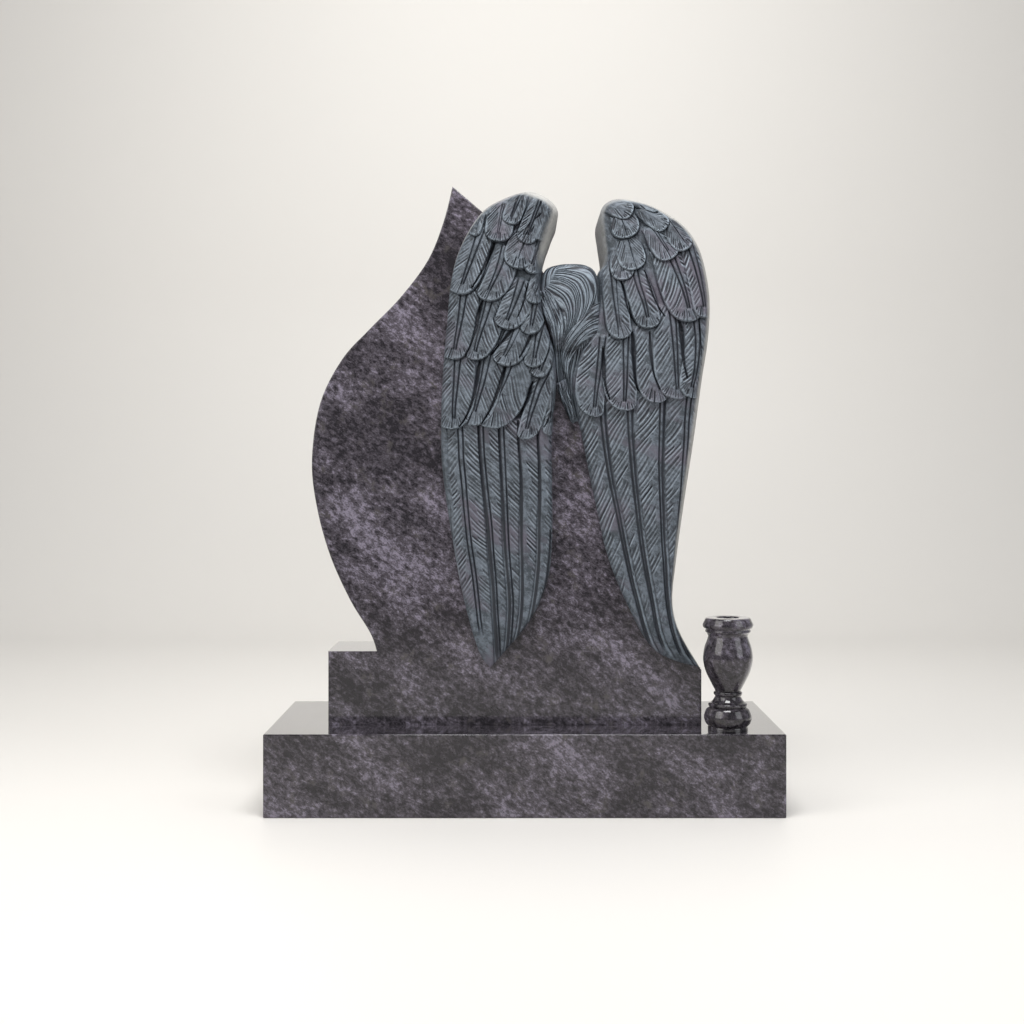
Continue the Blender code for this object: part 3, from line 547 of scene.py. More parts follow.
class Carving:
    """The surface of one carved piece while it is worked: its heights, the painted shade in its hollows and the
    painted highlights on its crests.
    """

    def __init__(self, x, z, base, sizes):
        self.x = x
        self.z = z
        self.base = base
        self.height = base.copy()
        self.hollow_shade = np.zeros_like(x)
        self.crest_highlight = np.zeros_like(x)
        self.sizes = sizes

    def near(self, line, margin):
        """The numbers of the points that lie near a line."""
        low = line.min(axis=0) - margin
        high = line.max(axis=0) + margin
        return np.nonzero((self.x > low[0]) & (self.x < high[0]) & (self.z > low[1]) & (self.z < high[1]))[0]

    def strokes(self, along, across, inside, rib, wide, end, fan, barbs, seed):
        """The barbs, as two maps from 0 to 1: their cuts, and the painted highlights on the crests beside the cuts.

        They slant down both vanes. At the end of the shaft they turn into a fan, or fade where fan is false.
        """
        width = self.sizes.barb_width
        slant, pitch = barbs
        pitch = pitch * MM
        out = np.abs(across)
        side = np.where(across < 0, 1.0, 2.0)
        drift = BARB_DRIFT * np.sin(along / (13 * MM) + 2.3 * seed + side)
        phase = (along - slant * out * (1 - BARB_CURL * out / wide)) / pitch + drift + pick(seed, side)
        number = np.floor(phase)
        below = (phase - number - 0.3 - 0.3 * pick(number, seed, 1)) * pitch / math.hypot(1, slant)
        start = rib + 0.8 * MM + 0.4 * wide * pick(number, seed, side, 3) ** 2
        stop = (0.3 + 0.2 * wide / MM * pick(number, seed, side, 5) ** 2) * MM
        deep = 0.4 + 0.6 * pick(number, seed, side, 7)
        thick = width * (0.75 + 0.7 * pick(number, seed, side, 9) ** 2)
        patchy = 0.8 + 0.2 * np.sin(along / (17 * MM) + 1.9 * seed + 2 * side)
        zone = ease((out - start) / (2.0 * MM)) * ease((inside - stop) / (1.5 * MM)) * deep * patchy
        cuts = bell(below, thick) * zone
        crest_highlights = bell(below - thick, thick) * zone
        turn = ease((along - end + 9 * MM) / (7 * MM))
        if not fan:
            return cuts * (1 - turn), crest_highlights * (1 - turn)

        centre = end - FAN_START
        reach = np.hypot(across, along - centre)
        phase = np.arctan2(across, along - centre) / FAN_STEP + pick(seed, 11)
        number = np.floor(phase)
        beyond = (phase - number - 0.3 - 0.3 * pick(number, seed, 12)) * FAN_STEP * reach
        begin = (14 + 14 * pick(number, seed, 15)) * MM
        stop = (0.4 + 4.0 * pick(number, seed, 17) ** 3) * MM
        zone = ease((reach - begin) / (3 * MM)) * ease((inside - stop) / (1.2 * MM)) * ease((out - 0.6 * MM) / MM)
        zone = zone * (0.35 + 0.65 * pick(number, seed, 13))
        thick = width * (0.6 + 0.5 * pick(number, seed, 19))
        cuts = cuts + (bell(beyond, thick) * zone - cuts) * turn
        crest_highlights = crest_highlights + (bell(beyond + 0.9 * thick, 0.9 * thick) * zone - crest_highlights) * turn
        return cuts, crest_highlights

    def add_feather(self, feather, kind, ways, layer, seed):
        """Lays one feather over what is there: tucked in at its root, lifted and rounded at its tip."""
        sizes = self.sizes
        left, right, reach, lines, path = feather
        line = on_stone(smooth_line(path, 6))
        near = self.near(line, (max(left, right) + min(reach, 25) + 4) * MM)
        along, across, end = beside(line, self.x[near], self.z[near])
        full = end + reach * MM
        on_left = across < 0
        wide = np.where(on_left, left, right) * MM
        wide = wide * (0.82 + 0.18 * ease(along / (0.5 * full)))
        tip = np.minimum(np.where(on_left, *ways["tips"][kind]) * wide, 0.5 * full)
        past = np.clip((along - full + tip) / tip, 0, None)
        share_across = np.abs(across) / wide
        inside = (1 - (share_across ** 2.2 + past ** 2.2) ** (1 / 2.2)) * wide
        shown = ease(inside / (1.2 * MM)) * ease((along + 2 * MM) / (7 * MM))

        rib_start, rib_end = ways["ribs"][kind]
        rib = (rib_start + (rib_end - rib_start) * np.clip(along / end, 0, 1)) * MM
        shaft = np.zeros_like(along)
        for way, thick in zip((-1, 1), lines):
            if thick:
                cut = bell(np.abs(across - way * rib), thick * MM) * min(1.0, 0.45 + 0.3 * thick)
                shaft = np.maximum(shaft, cut)
        fading = 28 * MM if kind == "long" else 3.5 * MM
        shaft = shaft * ease((along + 3 * MM) / (5 * MM)) * ease((end + MM - along) / fading)
        barbs, crest_highlights = self.strokes(along, across, inside, rib, wide, end, kind != "long", ways["barbs"][kind],
                                     seed)
        # The strokes, their painted shade and their painted highlights fade towards the wing's foot.
        wear_and_highlight = 0.25 + 0.75 * ease((level_of(self.z[near]) - 17) / 14)
        barbs = barbs * wear_and_highlight
        crest_highlights = crest_highlights * wear_and_highlight
        lift = layer + sizes.feather_lift * np.clip(along / full, 0, 1) ** 1.2
        lean = 0.9 * MM * ways["on_top"] * np.clip(across / wide, -1, 1)
        crown = sizes.feather_crown * (1 - np.clip(share_across, 0, 1) ** 2)
        rolled = 1.2 * MM * (1 - ease(inside / (2.6 * MM)))
        spine = 0.7 * MM * bell(across, 1.6 * rib) * ease((end - along) / (6 * MM))
        height = (self.base[near] + lift + lean + crown - rolled + spine - sizes.shaft_cut * shaft
                  - sizes.barb_cut * barbs)

        # Under the feather's edge a shallow groove is cut into what lies below, and darkened with a painted shadow.
        outside = np.clip(-inside, 0, None)
        ring = bell(outside, 2.2 * MM) * ease((along - 0.15 * full) / (0.3 * full)) * (1 - shown)
        under = self.height[near] - 1.4 * MM * ring
        self.height[near] = under + (height - under) * shown
        # The shaft lines and the barb cuts are darkened with painted shade.
        hollow_shade = np.maximum(self.hollow_shade[near], 0.5 * ring)
        faded = 0.8 + 0.15 * np.sin(along / (23 * MM) + 1.3 * seed)
        self.hollow_shade[near] = hollow_shade + (np.maximum(faded * shaft, 0.9 * barbs) - hollow_shade) * shown
        # Painted highlights: a band just inside the feather's rolled edge, and the crests beside the barb cuts.
        light = bell(np.abs(inside - 2.0 * MM), 3.0 * MM) * ease((along - 0.3 * full) / (0.3 * full))
        self.crest_highlight[near] = self.crest_highlight[near] * (1 - shown) + np.maximum(0.45 * light, 0.75 * crest_highlights) * shown

    def cut_groove(self, groove):
        """A deep cut that tapers to its ends, darkened with painted shade and cleared of painted highlights."""
        wide, depth, path = groove
        line = on_stone(smooth_line(path, 6))
        near = self.near(line, (wide + 2) * MM)
        along, across, end = beside(line, self.x[near], self.z[near])
        half = wide / 2 * MM * (1 - 0.7 * ease(along / end)) * (0.4 + 0.6 * ease(along / (0.3 * end)))
        cut = 1 - ease((np.abs(across) - 0.45 * half) / (0.9 * half))
        cut = cut * ease((along + 2 * MM) / (3 * MM)) * ease((end - along) / (4 * MM))
        self.height[near] -= depth * MM * cut
        self.hollow_shade[near] = np.maximum(self.hollow_shade[near], 0.7 * cut)
        self.crest_highlight[near] *= 1 - cut


# Mesh

def verts_in(geometry):
    return [part for part in geometry if isinstance(part, bmesh.types.BMVert)]


def mesh_of(bm, name):
    """Turns the finished shape into a mesh and lets go of the shape."""
    mesh = bpy.data.meshes.new(name)
    bm.to_mesh(mesh)
    bm.free()
    return mesh


def ease_edges(bm, edges, width, segments):
    bmesh.ops.bevel(bm, geom=edges, offset=width, offset_type="OFFSET", segments=segments, profile=0.5,
                    affect="EDGES", material=-1)


# How much painted shade, painted crest highlight and pale rim colour the walls of a carved piece get where they
# reach its root
WALL_MARKS = {"hollow_shade": 0.0, "crest_highlight": 0.0, "bare": 0.25}


def carved_mesh(name, columns, rows, place, root):
    """A grid moved into place, closed by walls that run back to the root, with its marks as attributes.

    place takes two arrays of shares, across and upwards, and gives x, y, z and a dictionary of marks.
    """
    mesh = bpy.data.meshes.new(name)
    bm = bmesh.new()
    bmesh.ops.create_grid(bm, x_segments=columns, y_segments=rows, size=0.5)
    bm.to_mesh(mesh)
    places = np.empty(len(mesh.vertices) * 3, np.float64)
    mesh.vertices.foreach_get("co", places)
    places = places.reshape(-1, 3)
    x, y, z, marks = place(places[:, 0] + 0.5, places[:, 1] + 0.5)
    mesh.vertices.foreach_set("co", np.column_stack([x, y, z]).ravel())
    for mark, values in marks.items():
        attribute = mesh.attributes.new(mark, "FLOAT", "POINT")
        attribute.data.foreach_set("value", values.astype(np.float32))
    bm.clear()
    bm.from_mesh(mesh)
    border = [edge for edge in bm.edges if edge.is_boundary]
    made = bmesh.ops.extrude_edge_only(bm, edges=border)["geom"]
    for vert in verts_in(made):
        vert.co.y = root
        for mark in marks:
            vert[bm.verts.layers.float[mark]] = WALL_MARKS[mark]
    bmesh.ops.remove_doubles(bm, verts=bm.verts[:], dist=SAME_PLACE)
    bmesh.ops.holes_fill(bm, edges=[edge for edge in bm.edges if edge.is_boundary], sides=0)
    bmesh.ops.recalc_face_normals(bm, faces=bm.faces[:])
    bm.to_mesh(mesh)
    bm.free()
    return mesh


def add_piece(name, mesh, material, slot, *nodes):
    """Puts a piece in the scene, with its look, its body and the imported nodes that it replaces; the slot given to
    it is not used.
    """
    obj = bpy.data.objects.new(name, mesh)
    bpy.context.scene.collection.objects.link(obj)
    mesh.materials.append(material)
    mesh.shade_smooth()
    mesh.set_sharp_from_angle(angle=math.radians(50))
    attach(obj, "root")
    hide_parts(*nodes)
    return obj


def hold_flats(obj):
    """Keeps the shading of flat faces flat beside their eased edges, so that reflections stay straight."""
    normals = obj.modifiers.new("held_flats", "WEIGHTED_NORMAL")
    normals.weight = 100
    normals.keep_sharp = True


def wing_part(name, wing, rows, kinds, top, foot, sink, material):
    """Carves the rows of feathers between two levels of a wing into one piece.

    It sinks into the wing between the two levels of sink, to run under the other piece or to end over it.
    """
    top = min(top, wing.top)
    foot = max(foot, wing.foot)
    high = STONE_HEIGHT * (top - foot) / 100

    def place(across, upwards):
        roll_top = TOP_ROLL if top == wing.top else PLAIN_END
        roll_foot = FOOT_ROLL if foot == wing.foot else PLAIN_END
        below = spread(1 - upwards, high, roll_top, roll_foot, END_SHARE)
        z = STONE_FOOT + top / 100 * STONE_HEIGHT - below
        level = level_of(z)
        sunk = ease((level - sink[0]) / (sink[1] - sink[0]))
        left, right = wing.edges(level)
        left = left + OVERLAP_INSET * sunk
        right = right - OVERLAP_INSET * sunk
        round_over = wing.rounding(level)
        x = left + spread(across, right - left, round_over, round_over, SIDE_SHARE)
        base, relief, bare = wing.body(x, z)
        carving = Carving(x, z, base, wing.sizes)
        carving.height = base * (1 - 0.45 * sunk)
        for r, ((feathers, grooves), kind) in enumerate(zip(rows, kinds)):
            layer = ROW_STEP * (r + (kind != "long"))
            for i, feather in enumerate(feathers):
                carving.add_feather(feather, kind, wing.ways, layer, 10 * r + i + len(name))
            for groove in grooves:
                carving.cut_groove(groove)
        if kinds[0] == "long":
            carving.height = carving.height + (0.55 * base - carving.height) * sunk
        height = np.maximum(base + (carving.height - base) * relief, 0.0)
        # The painted highlights on the crests are made brighter towards the wing's top, where light from above
        # falls.
        wear_and_highlight = 1 + wing.ways["painted_top_highlight"] * ease((level - 76) / 14)
        crest_highlight = np.minimum(carving.crest_highlight * wear_and_highlight, 0.9) * relief
        marks = {"hollow_shade": carving.hollow_shade * relief, "crest_highlight": crest_highlight, "bare": bare}
        return x, FACE - height, z, marks

    mesh = carved_mesh(name, *WING_GRID, place, WING_ROOT)
    return add_piece(name, mesh, material, "carved_granite", "headstone")


def head_height(x, z, sizes):
    """How far the bowed head and its neck stand out from the face."""
    centre_x, centre_z = on_stone(HEAD_CENTRE)[0]
    across = (x - centre_x) / (HEAD_HALF_WIDTH / 100 * STONE_WIDTH)
    along = (z - centre_z) / (HEAD_HALF_HEIGHT / 100 * STONE_HEIGHT)
    dome = np.sqrt(np.clip(1 - np.abs(across) ** 2.5 - along ** 4, 0, 1))
    level = level_of(z)
    neck = 0.5 * ease((level - 55) / 16) * ease((88 - level) / 5)
    return sizes.head_rise * np.maximum(dome, neck)


def along_guide(guide, t):
    """Points at shares t of a guide line's length, in metres."""
    line = on_stone(smooth_line(guide, 12))
    steps = np.hypot(*np.diff(line, axis=0).T)
    run = np.concatenate([[0.0], np.cumsum(steps)])
    return [np.interp(t * run[-1], run, line[:, axis]) for axis in (0, 1)]


def hair_patch(name, count, guides, layer, root, sizes, material):
    """Locks of hair spread between two guide lines, drawn from the crown downwards."""

    def place(across, upwards):
        run = 1 - upwards
        (x0, z0), (x1, z1) = (along_guide(guide, run) for guide in guides)
        x = x0 + (x1 - x0) * across
        z = z0 + (z1 - z0) * across
        turn = across * count + 0.5 * np.sin(5 * run + 9 * across) + 0.35 * np.sin(23 * across + 4 * run)
        number = np.floor(turn)
        part = turn - number
        ridge = 1 - np.abs(2 * part - 1) ** 2
        deep = 0.65 + 0.35 * pick(number, len(name))
        deep = deep * (0.8 + 0.2 * np.sin(7 * run + 5 * pick(number, 3)))
        fine = np.abs(np.sin(np.pi * (3 * turn + 0.8 * np.sin(7 * run + 3 * number)))) ** 0.7
        border = ease(across / 0.06) * ease((1 - across) / 0.06)
        ends = ease(run / 0.04) * ease((1 - run) / 0.08)
        lift = layer + sizes.lock_lift * np.sin(np.pi * np.clip(run, 0, 1)) ** 0.5
        height = head_height(x, z, sizes) + (lift + sizes.strand_cut * (ridge * deep - 0.5)
                                             - 0.6 * MM * (1 - fine)) * ends - 2.5 * MM * (1 - border)
        # Painted shade in the cuts between the locks and their fine strands, and painted highlights on the locks'
        # ridges.
        cut = bell(np.minimum(part, 1 - part), 0.28) * deep
        marks = {"hollow_shade": np.clip(0.85 * cut + 0.5 * (1 - fine) ** 2, 0, 1) * ends,
                 "crest_highlight": ridge ** 2 * (0.2 + 0.8 * fine) * (0.62 + 0.43 * pick(number, 5)) * border, "bare": 0 * x}
        return x, FACE - np.maximum(height, 0.0), z, marks

    mesh = carved_mesh(name, count * LOCK_COLUMNS, HAIR_ROWS, place, root)
    return add_piece(name, mesh, material, "carved_granite", "headstone")


def drawn_in(line, middle):
    """A wing's side a little inside the carving, so that the carving also makes the stone's rough side."""
    inwards = np.clip((middle - line[:, 0]) / 2, -1, 1)
    return (line + np.column_stack([SIDE_INSET * inwards, -SIDE_INSET * ease((line[:, 1] - 88) / 6)])).tolist()


def stone_outline():
    """The whole stone seen from the front: foot, step, ogee, point, wing tops, head and the right side.

    Each part of the outline is left for the next where it goes behind it.
    """
    left_wing, right_wing = (
        [drawn_in(side, sides[0][0][0]) for side in smooth_sides(sides, 6)]
        for sides in (LEFT_WING_SIDES, RIGHT_WING_SIDES))
    ogee = smooth_line(OGEE, 6).tolist()
    outline = [[100.0, 0.0], [0.0, 0.0], [0.0, STEP_LEVEL], [ogee[-1][0], STEP_LEVEL]]
    outline += [point for point in reversed(ogee) if point[1] > STEP_LEVEL + 0.5]
    outline += [point for point in reversed(left_wing[0]) if point[1] > POINT_END]
    outline += [point for point in left_wing[1][1:] if point[1] > HEAD_START]
    outline += [[x, z - SIDE_INSET] for x, z in smooth_line(HEAD_TOP, 4)]
    outline += [point for point in reversed(right_wing[0]) if point[1] > HEAD_END]
    outline += [point for point in right_wing[1][1:] if point[1] > WING_END]
    outline.append([100.0, right_wing[1][-1][1] - 0.3])
    return on_stone(outline)


# Materials

# How far the grain is turned in the stone and, on the polished faces, moved
GRAIN_TILT = -0.6
GRAIN_SHIFT = (0.055, 0.0, -0.015)

# Painted shade: how much each polished piece's grain colours are darkened beside the slab's, for the dark
# surroundings mirrored in the vase and the less light that the ground throws up onto the plinth
PLINTH_SHADE = 0.95
SLAB_SHADE = 1.0
VASE_SHADE = 0.76


class Nodes:
    """Adds nodes to a tree and joins them."""

    def __init__(self, tree):
        self.tree = tree

    def add(self, kind, inputs=None, **settings):
        node = self.tree.nodes.new("ShaderNode" + kind)
        for key, value in settings.items():
            setattr(node, key, value)
        for key, value in (inputs or {}).items():
            self.give(node.inputs[key], value)
        return node

    def give(self, socket, value):
        if isinstance(value, bpy.types.NodeSocket):
            self.tree.links.new(value, socket)
        else:
            socket.default_value = value

    def math(self, operation, a, b):
        return self.add("Math", {0: a, 1: b}, operation=operation).outputs[0]

    def weigh(self, *parts):
        """The sum of noises, each taken as its distance from one half and times its weight."""
        total = None
        for noise, weight in parts:
            part = self.math("MULTIPLY", self.math("SUBTRACT", noise, 0.5), weight)
            total = part if total is None else self.math("ADD", total, part)
        return total

    def steps(self, value, low, high):
        """0 below low, 1 over high and smooth between them."""
        node = self.add("MapRange", {"Value": value, "From Min": low, "From Max": high},
                        interpolation_type="SMOOTHSTEP")
        return node.outputs["Result"]

    def blend(self, factor, a, b):
        return self.add("Mix", {"Factor": factor, "A": a, "B": b}, data_type="RGBA").outputs["Result"]


def grain_group():
    """Mineral grain of the granite: broad drifting bands, clusters of dark flecks and small crystals."""
    group = bpy.data.node_groups.new("granite_grain", "ShaderNodeTree")
    group.interface.new_socket("Vector", in_out="INPUT", socket_type="NodeSocketVector")
    for title in ("Band", "Cluster", "Crystal", "Patch"):
        group.interface.new_socket(title, in_out="OUTPUT", socket_type="NodeSocketFloat")
    nodes = Nodes(group)
    into = group.nodes.new("NodeGroupInput")
    out = group.nodes.new("NodeGroupOutput")
    turned = nodes.add("VectorRotate", {"Vector": into.outputs["Vector"], "Angle": GRAIN_TILT},
                       rotation_type="Y_AXIS")
    stretched = nodes.add("VectorMath", {0: turned.outputs[0], 1: (0.45, 1.0, 1.0)}, operation="MULTIPLY")
    clumped = nodes.add("VectorMath", {0: turned.outputs[0], 1: (0.6, 1.0, 1.0)}, operation="MULTIPLY")
    for name, vector, scale, detail, rough, bent in (
            ("Band", stretched, 12.0, 4.0, 0.65, 0.3), ("Cluster", clumped, 150.0, 4.0, 0.65, 0.3),
            ("Crystal", clumped, 560.0, 2.0, 0.7, 0.0), ("Patch", turned, 48.0, 4.0, 0.65, 0.2)):
        noise = nodes.add("TexNoise", {"Vector": vector.outputs[0], "Scale": scale, "Detail": detail,
                                       "Roughness": rough, "Distortion": bent})
        nodes.give(out.inputs[name], noise.outputs[0])
    return group


def rgba(colour_value):
    return (*colour_value, 1.0)


def new_material(name):
    material = bpy.data.materials.new(name)
    material.use_nodes = True
    return material, Nodes(material.node_tree), material.node_tree.nodes["Principled BSDF"]


def polished_granite(name, grain, colours, shade):
    material, nodes, shader = new_material(name)
    where = nodes.add("TexCoord").outputs["Object"]
    moved = nodes.add("VectorMath", {0: where, 1: GRAIN_SHIFT}, operation="ADD").outputs[0]
    # Painted shade: the grain colours are darkened by the piece's shade.
    dark, middle, light, olive = (
        rgba(Vector(tone) * shade) for tone in (colours.dark, colours.middle, colours.light, colours.olive))
    marks = nodes.add("Group", node_tree=grain)
    nodes.give(marks.inputs["Vector"], moved)
    level = nodes.weigh((marks.outputs["Cluster"], 1.1), (marks.outputs["Crystal"], 0.6),
                        (marks.outputs["Band"], 0.9), (marks.outputs["Patch"], 0.35))
    ground = nodes.blend(nodes.steps(level, -0.20, 0.07), dark, middle)
    ground = nodes.blend(nodes.steps(marks.outputs["Patch"], 0.55, 0.74), ground, olive)
    tone = nodes.blend(nodes.steps(level, 0.02, 0.33), ground, light)
    nodes.give(shader.inputs["Base Color"], tone)
    shader.inputs["Roughness"].default_value = colours.polish
    facing = nodes.add("LayerWeight", {"Blend": 0.5}).outputs["Facing"]
    nodes.give(shader.inputs["Coat Weight"], nodes.steps(facing, 0.40, 0.82))
    shader.inputs["Coat Roughness"].default_value = 0.03
    shader.inputs["Coat IOR"].default_value = 2.2
    return material


def carved_granite(name, grain, colours):
    material, nodes, shader = new_material(name)
    where = nodes.add("TexCoord").outputs["Object"]
    marks = nodes.add("Group", node_tree=grain)
    nodes.give(marks.inputs["Vector"], where)
    hollow_shade, crest_highlight, bare = (
        nodes.add("Attribute", attribute_name=mark).outputs["Fac"] for mark in ("hollow_shade", "crest_highlight", "bare"))
    level = nodes.weigh((marks.outputs["Cluster"], 1.5), (marks.outputs["Crystal"], 0.7),
                        (marks.outputs["Patch"], 0.9))
    tone = nodes.blend(nodes.steps(level, -0.26, 0.28), rgba(colours.carved_dark), rgba(colours.carved_light))
    violet = nodes.math("MULTIPLY", nodes.steps(marks.outputs["Band"], 0.50, 0.64), 0.8)
    tone = nodes.blend(violet, tone, rgba(colours.carved_violet))
    tone = nodes.blend(nodes.math("MULTIPLY", bare, nodes.steps(level, -1.0, 0.1)), tone, rgba(colours.rim))
    # Painted highlight on the crests of the carving.
    tone = nodes.blend(nodes.math("MULTIPLY", crest_highlight, 0.7), tone, rgba(colours.wear_and_highlight))
    # Painted shade in the cuts of the carving.
    tone = nodes.blend(nodes.steps(hollow_shade, 0.05, 0.65), tone, rgba(colours.hollow_shade))
    nodes.give(shader.inputs["Base Color"], tone)
    shader.inputs["Roughness"].default_value = 0.62
    rough = nodes.weigh((marks.outputs["Cluster"], 0.5), (marks.outputs["Crystal"], 1.5))
    bump = nodes.add("Bump", {"Height": rough, "Strength": 0.45, "Distance": 0.0010})
    nodes.give(shader.inputs["Normal"], bump.outputs["Normal"])
    return material


# Operators

def sizes_of(context):
    return context.scene.headstone_sizes


def shared_grain():
    return bpy.data.node_groups.get("granite_grain") or grain_group()


def polished(name, context, shade):
    colours = context.scene.headstone_colours
    return bpy.data.materials.get(name) or polished_granite(name, shared_grain(), colours, shade)


def carved(context):
    name = "carved_granite_finish"
    return bpy.data.materials.get(name) or carved_granite(name, shared_grain(), context.scene.headstone_colours)


class HEADSTONE_OT_plinth(bpy.types.Operator):
    """Makes the sawn and polished block that the stone and the vase stand on"""
    bl_idname = "headstone.plinth"
    bl_label = "Plinth"

    def execute(self, context):
        low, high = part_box("plinth")
        bm = bmesh.new()
        bmesh.ops.create_cube(bm, size=1.0)
        size = Matrix.Diagonal((*(high - low), 1.0))
        bmesh.ops.transform(bm, matrix=Matrix.Translation((low + high) / 2) @ size, verts=bm.verts[:])
        ease_edges(bm, bm.edges[:], sizes_of(context).arris, 4)
        material = polished("plinth_polish", context, PLINTH_SHADE)
        hold_flats(add_piece("plinth_block", mesh_of(bm, "plinth_block"), material, "plinth_granite", "plinth"))
        return {"FINISHED"}


class HEADSTONE_OT_slab(bpy.types.Operator):
    """Makes the sawn and polished slab with its ogee side, its step and its point"""
    bl_idname = "headstone.slab"
    bl_label = "Slab"

    def execute(self, context):
        bm = bmesh.new()
        corners = [bm.verts.new((x, FACE, z)) for x, z in stone_outline()]
        bm.faces.new(corners)
        bmesh.ops.dissolve_limit(bm, angle_limit=math.radians(0.4), verts=bm.verts[:], edges=bm.edges[:])
        made = bmesh.ops.extrude_face_region(bm, geom=bm.faces[:], use_keep_orig=True)["geom"]
        bmesh.ops.translate(bm, vec=(0, BACK - FACE, 0), verts=verts_in(made))
        bmesh.ops.recalc_face_normals(bm, faces=bm.faces[:])
        middle = (FACE + BACK) / 2
        rims = [edge for edge in bm.edges if (edge.verts[0].co.y < middle) == (edge.verts[1].co.y < middle)
                and max(vert.co.z for vert in edge.verts) > STONE_FOOT + MM]
        ease_edges(bm, rims, sizes_of(context).arris, 3)
        material = polished("slab_polish", context, SLAB_SHADE)
        hold_flats(add_piece("stone_slab", mesh_of(bm, "stone_slab"), material, "headstone_granite", "headstone"))
        return {"FINISHED"}


class HEADSTONE_OT_wings(bpy.types.Operator):
    """Carves the two folded wings, each as its short feathers over its long ones"""
    bl_idname = "headstone.wings"
    bl_label = "Wings"

    def execute(self, context):
        for name, ways in (("left_wing", LEFT_WING), ("right_wing", RIGHT_WING)):
            wing = Wing(ways, sizes_of(context))
            wing_part(name + "_long_feathers", wing, ways["rows"][:1], ways["kinds"][:1], ways["long_top"], 0.0,
                      ways["long_sink"], carved(context))
            wing_part(name + "_short_feathers", wing, ways["rows"][1:], ways["kinds"][1:], 100.0,
                      ways["covert_foot"], ways["covert_sink"], carved(context))
        return {"FINISHED"}


class HEADSTONE_OT_hair(bpy.types.Operator):
    """Carves the bowed head and its locks of hair"""
    bl_idname = "headstone.hair"
    bl_label = "Hair"

    def execute(self, context):
        sizes = sizes_of(context)
        hair_patch("bowed_head", NAPE[0], NAPE[1:], -1.8 * MM, WING_ROOT, sizes, carved(context))
        for i, (name, count, *guides) in enumerate(HAIR):
            layer = (1.5 + 0.7 * i) * MM
            hair_patch("hair_" + name, count, guides, layer, HAIR_ROOT, sizes, carved(context))
        return {"FINISHED"}


class HEADSTONE_OT_vase(bpy.types.Operator):
    """Turns the vase from its half section"""
    bl_idname = "headstone.vase"
    bl_label = "Vase"

    def execute(self, context):
        sizes = sizes_of(context)
        outside = np.vstack([smooth_line(part, 5) for part in VASE_PARTS])
        outside = outside / 100 * (sizes.vase_radius, sizes.vase_height)
        bottom = sizes.vase_height - sizes.bore_depth
        lip = 0.0015
        bore = [(0.0, bottom), (sizes.bore_radius, bottom + lip), (sizes.bore_radius, sizes.vase_height - lip),
                (sizes.bore_radius + 0.3 * lip, sizes.vase_height - 0.3 * lip),
                (sizes.bore_radius + lip, sizes.vase_height)]
        line = [*bore, *outside.tolist(), (0.0, 0.0)]
        low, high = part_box("vase")
        bm = bmesh.new()
        corners = [bm.verts.new((r, 0.0, z)) for r, z in line]
        edges = [bm.edges.new(pair) for pair in zip(corners, corners[1:])]
        bmesh.ops.spin(bm, geom=corners + edges, cent=(0, 0, 0), axis=(0, 0, 1), angle=math.tau, steps=VASE_SIDES,
                       use_merge=True)
        bmesh.ops.remove_doubles(bm, verts=bm.verts[:], dist=SAME_PLACE)
        bmesh.ops.recalc_face_normals(bm, faces=bm.faces[:])
        middle = (low + high) / 2
        bmesh.ops.translate(bm, vec=(middle.x, middle.y, low.z), verts=bm.verts[:])
        material = polished("vase_polish", context, VASE_SHADE)
        add_piece("turned_vase", mesh_of(bm, "turned_vase"), material, "vase_granite", "vase")
        return {"FINISHED"}


def add_sweep(scene, studio):
    """A floor that bends up into a wall behind the stone."""
    half_width, front, back, bend, wall = 6.0, -4.5, 2.0, 1.2, 4.0
    bm = bmesh.new()
    edge = bm.edges.new([bm.verts.new((x, front, 0.0)) for x in (-half_width, half_width)])
    flat = bmesh.ops.extrude_edge_only(bm, edges=[edge])["geom"]
    corners = verts_in(flat)
    bmesh.ops.translate(bm, vec=(0, back - front, 0), verts=corners)
    far = [part for part in flat if isinstance(part, bmesh.types.BMEdge) and all(v in corners for v in part.verts)]
    turned = bmesh.ops.spin(bm, geom=corners + far, cent=(0, back, bend), axis=(1, 0, 0), angle=math.radians(90),
                            steps=24)["geom_last"]
    upper = [part for part in turned if isinstance(part, bmesh.types.BMEdge)]
    risen = bmesh.ops.extrude_edge_only(bm, edges=upper)["geom"]
    bmesh.ops.translate(bm, vec=(0, 0, wall), verts=verts_in(risen))
    bmesh.ops.recalc_face_normals(bm, faces=bm.faces[:])
    mesh = mesh_of(bm, "studio_sweep")
    sweep = bpy.data.objects.new("studio_sweep", mesh)
    scene.collection.objects.link(sweep)
    material, _, shader = new_material("pale_floor")
    shader.inputs["Base Color"].default_value = rgba(studio.floor)
    shader.inputs["Roughness"].default_value = 0.5
    mesh.materials.append(material)
    mesh.shade_smooth()


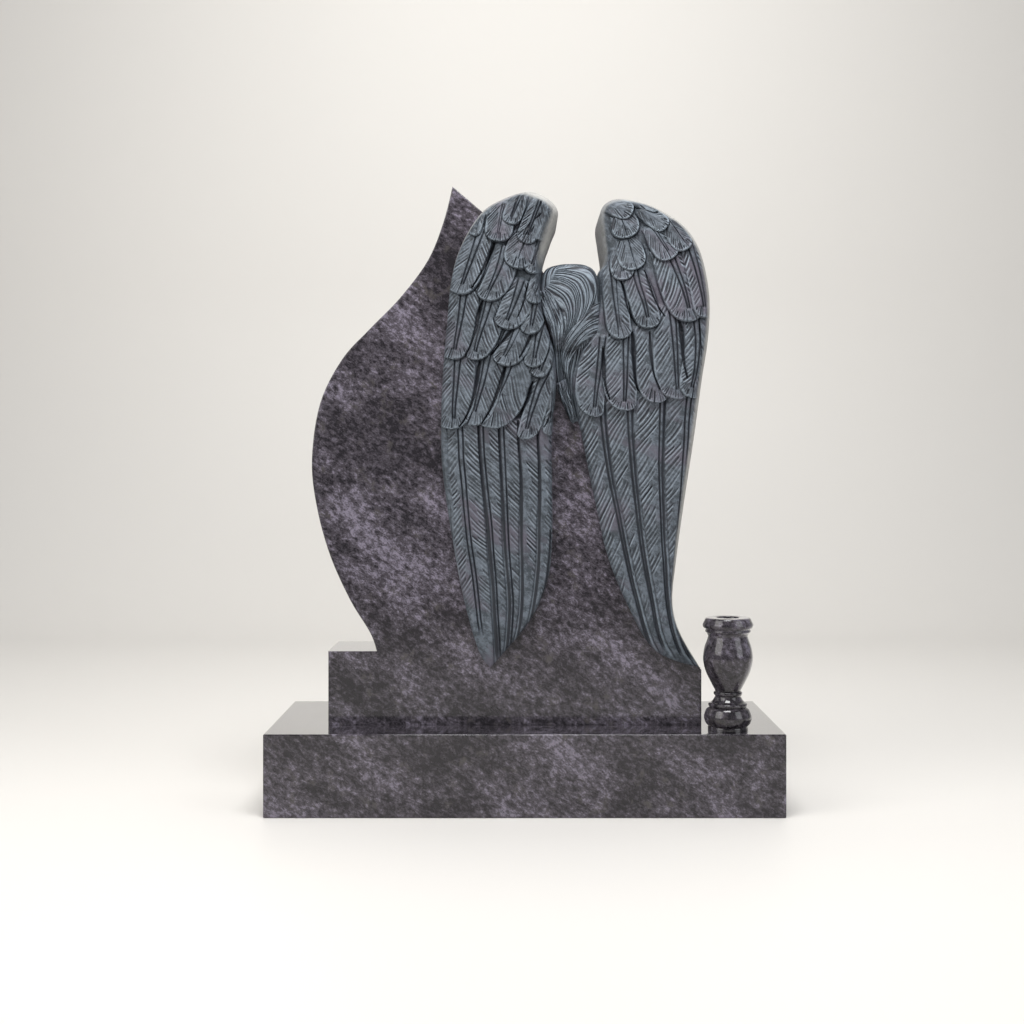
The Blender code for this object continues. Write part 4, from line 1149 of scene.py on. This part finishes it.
def add_lights(scene, studio):
    """Soft lights, each given as its name, place, target, power, size and tint."""
    middle = (0.0, 0.0, 0.5)
    lights = (
        ("key", (-2.0, -1.6, 1.8), middle, studio.key_power, (1.9, 2.6), (1.0, 0.98, 0.95)),
        ("fill", (2.4, -1.8, 1.5), middle, studio.fill_power, (1.5, 2.4), (0.95, 0.97, 1.0)),
        ("top", (0.1, -1.0, 2.3), (0.05, 0.0, 0.6), studio.top_power, (1.0, 0.8), (1.0, 1.0, 1.0)),
        ("backdrop", (0.0, 0.9, 3.2), (0.0, 3.0, 0.6), studio.back_power, (2.5, 2.0), (1.0, 0.99, 0.96)),
    )
    for name, place, target, power, size, tint in lights:
        light = bpy.data.lights.new(name, "AREA")
        light.energy = power
        light.shape = "RECTANGLE"
        light.size, light.size_y = size
        light.color = tint
        lamp = bpy.data.objects.new(name, light)
        lamp.location = place
        lamp.rotation_euler = (Vector(target) - Vector(place)).to_track_quat("-Z", "Y").to_euler()
        scene.collection.objects.link(lamp)


def add_air(scene, studio):
    """Light from all sides, and a plain pale sky where the camera looks past the sweep."""
    world = bpy.data.worlds.new("studio_air")
    scene.world = world
    world.use_nodes = True
    sky = world.node_tree.nodes["Background"]
    sky.inputs["Color"].default_value = (0.94, 0.96, 1.0, 1.0)
    nodes = Nodes(world.node_tree)
    seen = nodes.add("LightPath").outputs["Is Camera Ray"]
    plain = nodes.math("MULTIPLY", seen, studio.seen_sky - studio.sky)
    nodes.give(sky.inputs["Strength"], nodes.math("ADD", plain, studio.sky))


def add_camera(scene):
    """The camera where the photo was taken from, level and straight in front."""
    camera = bpy.data.cameras.new("camera")
    camera.sensor_width = 36.0
    camera.lens = 51.49
    camera.shift_x = -0.00635
    camera.shift_y = -0.0439
    eye = bpy.data.objects.new("camera", camera)
    eye.location = (-0.009, -2.2825, 0.511)
    eye.rotation_euler = (math.radians(90), 0.0, 0.0)
    scene.collection.objects.link(eye)
    scene.camera = eye
    scene.view_settings.view_transform = "Standard"


class HEADSTONE_OT_studio(bpy.types.Operator):
    """Sets up the pale floor, the soft lights and the camera"""
    bl_idname = "headstone.studio"
    bl_label = "Studio"

    def execute(self, context):
        studio = context.scene.headstone_studio
        add_sweep(context.scene, studio)
        add_lights(context.scene, studio)
        add_air(context.scene, studio)
        add_camera(context.scene)
        return {"FINISHED"}


class HEADSTONE_PT_parts(bpy.types.Panel):
    """The pieces of the headstone, and their sizes and colours"""
    bl_label = "Headstone"
    bl_idname = "HEADSTONE_PT_parts"
    bl_space_type = "VIEW_3D"
    bl_region_type = "UI"
    bl_category = "Headstone"

    def draw(self, context):
        layout = self.layout
        for step in STEPS:
            layout.operator(step.bl_idname)
        for group in (context.scene.headstone_sizes, context.scene.headstone_colours,
                      context.scene.headstone_studio):
            box = layout.box()
            for key in group.__annotations__:
                box.prop(group, key)


STEPS = (HEADSTONE_OT_studio, HEADSTONE_OT_plinth, HEADSTONE_OT_slab, HEADSTONE_OT_wings, HEADSTONE_OT_hair,
         HEADSTONE_OT_vase)
GROUPS = {"headstone_sizes": HeadstoneSizes, "headstone_colours": HeadstoneColours,
          "headstone_studio": StudioSettings}


def register():
    for kind in (*GROUPS.values(), *STEPS, HEADSTONE_PT_parts):
        bpy.utils.register_class(kind)
    for name, group in GROUPS.items():
        setattr(bpy.types.Scene, name, PointerProperty(type=group))


def unregister():
    for name in GROUPS:
        delattr(bpy.types.Scene, name)
    for kind in (HEADSTONE_PT_parts, *reversed(STEPS), *reversed(list(GROUPS.values()))):
        bpy.utils.unregister_class(kind)


def main():
    register()
    for step in STEPS:
        getattr(bpy.ops.headstone, step.bl_idname.split(".")[1])()


if __name__ == "__main__":
    main()
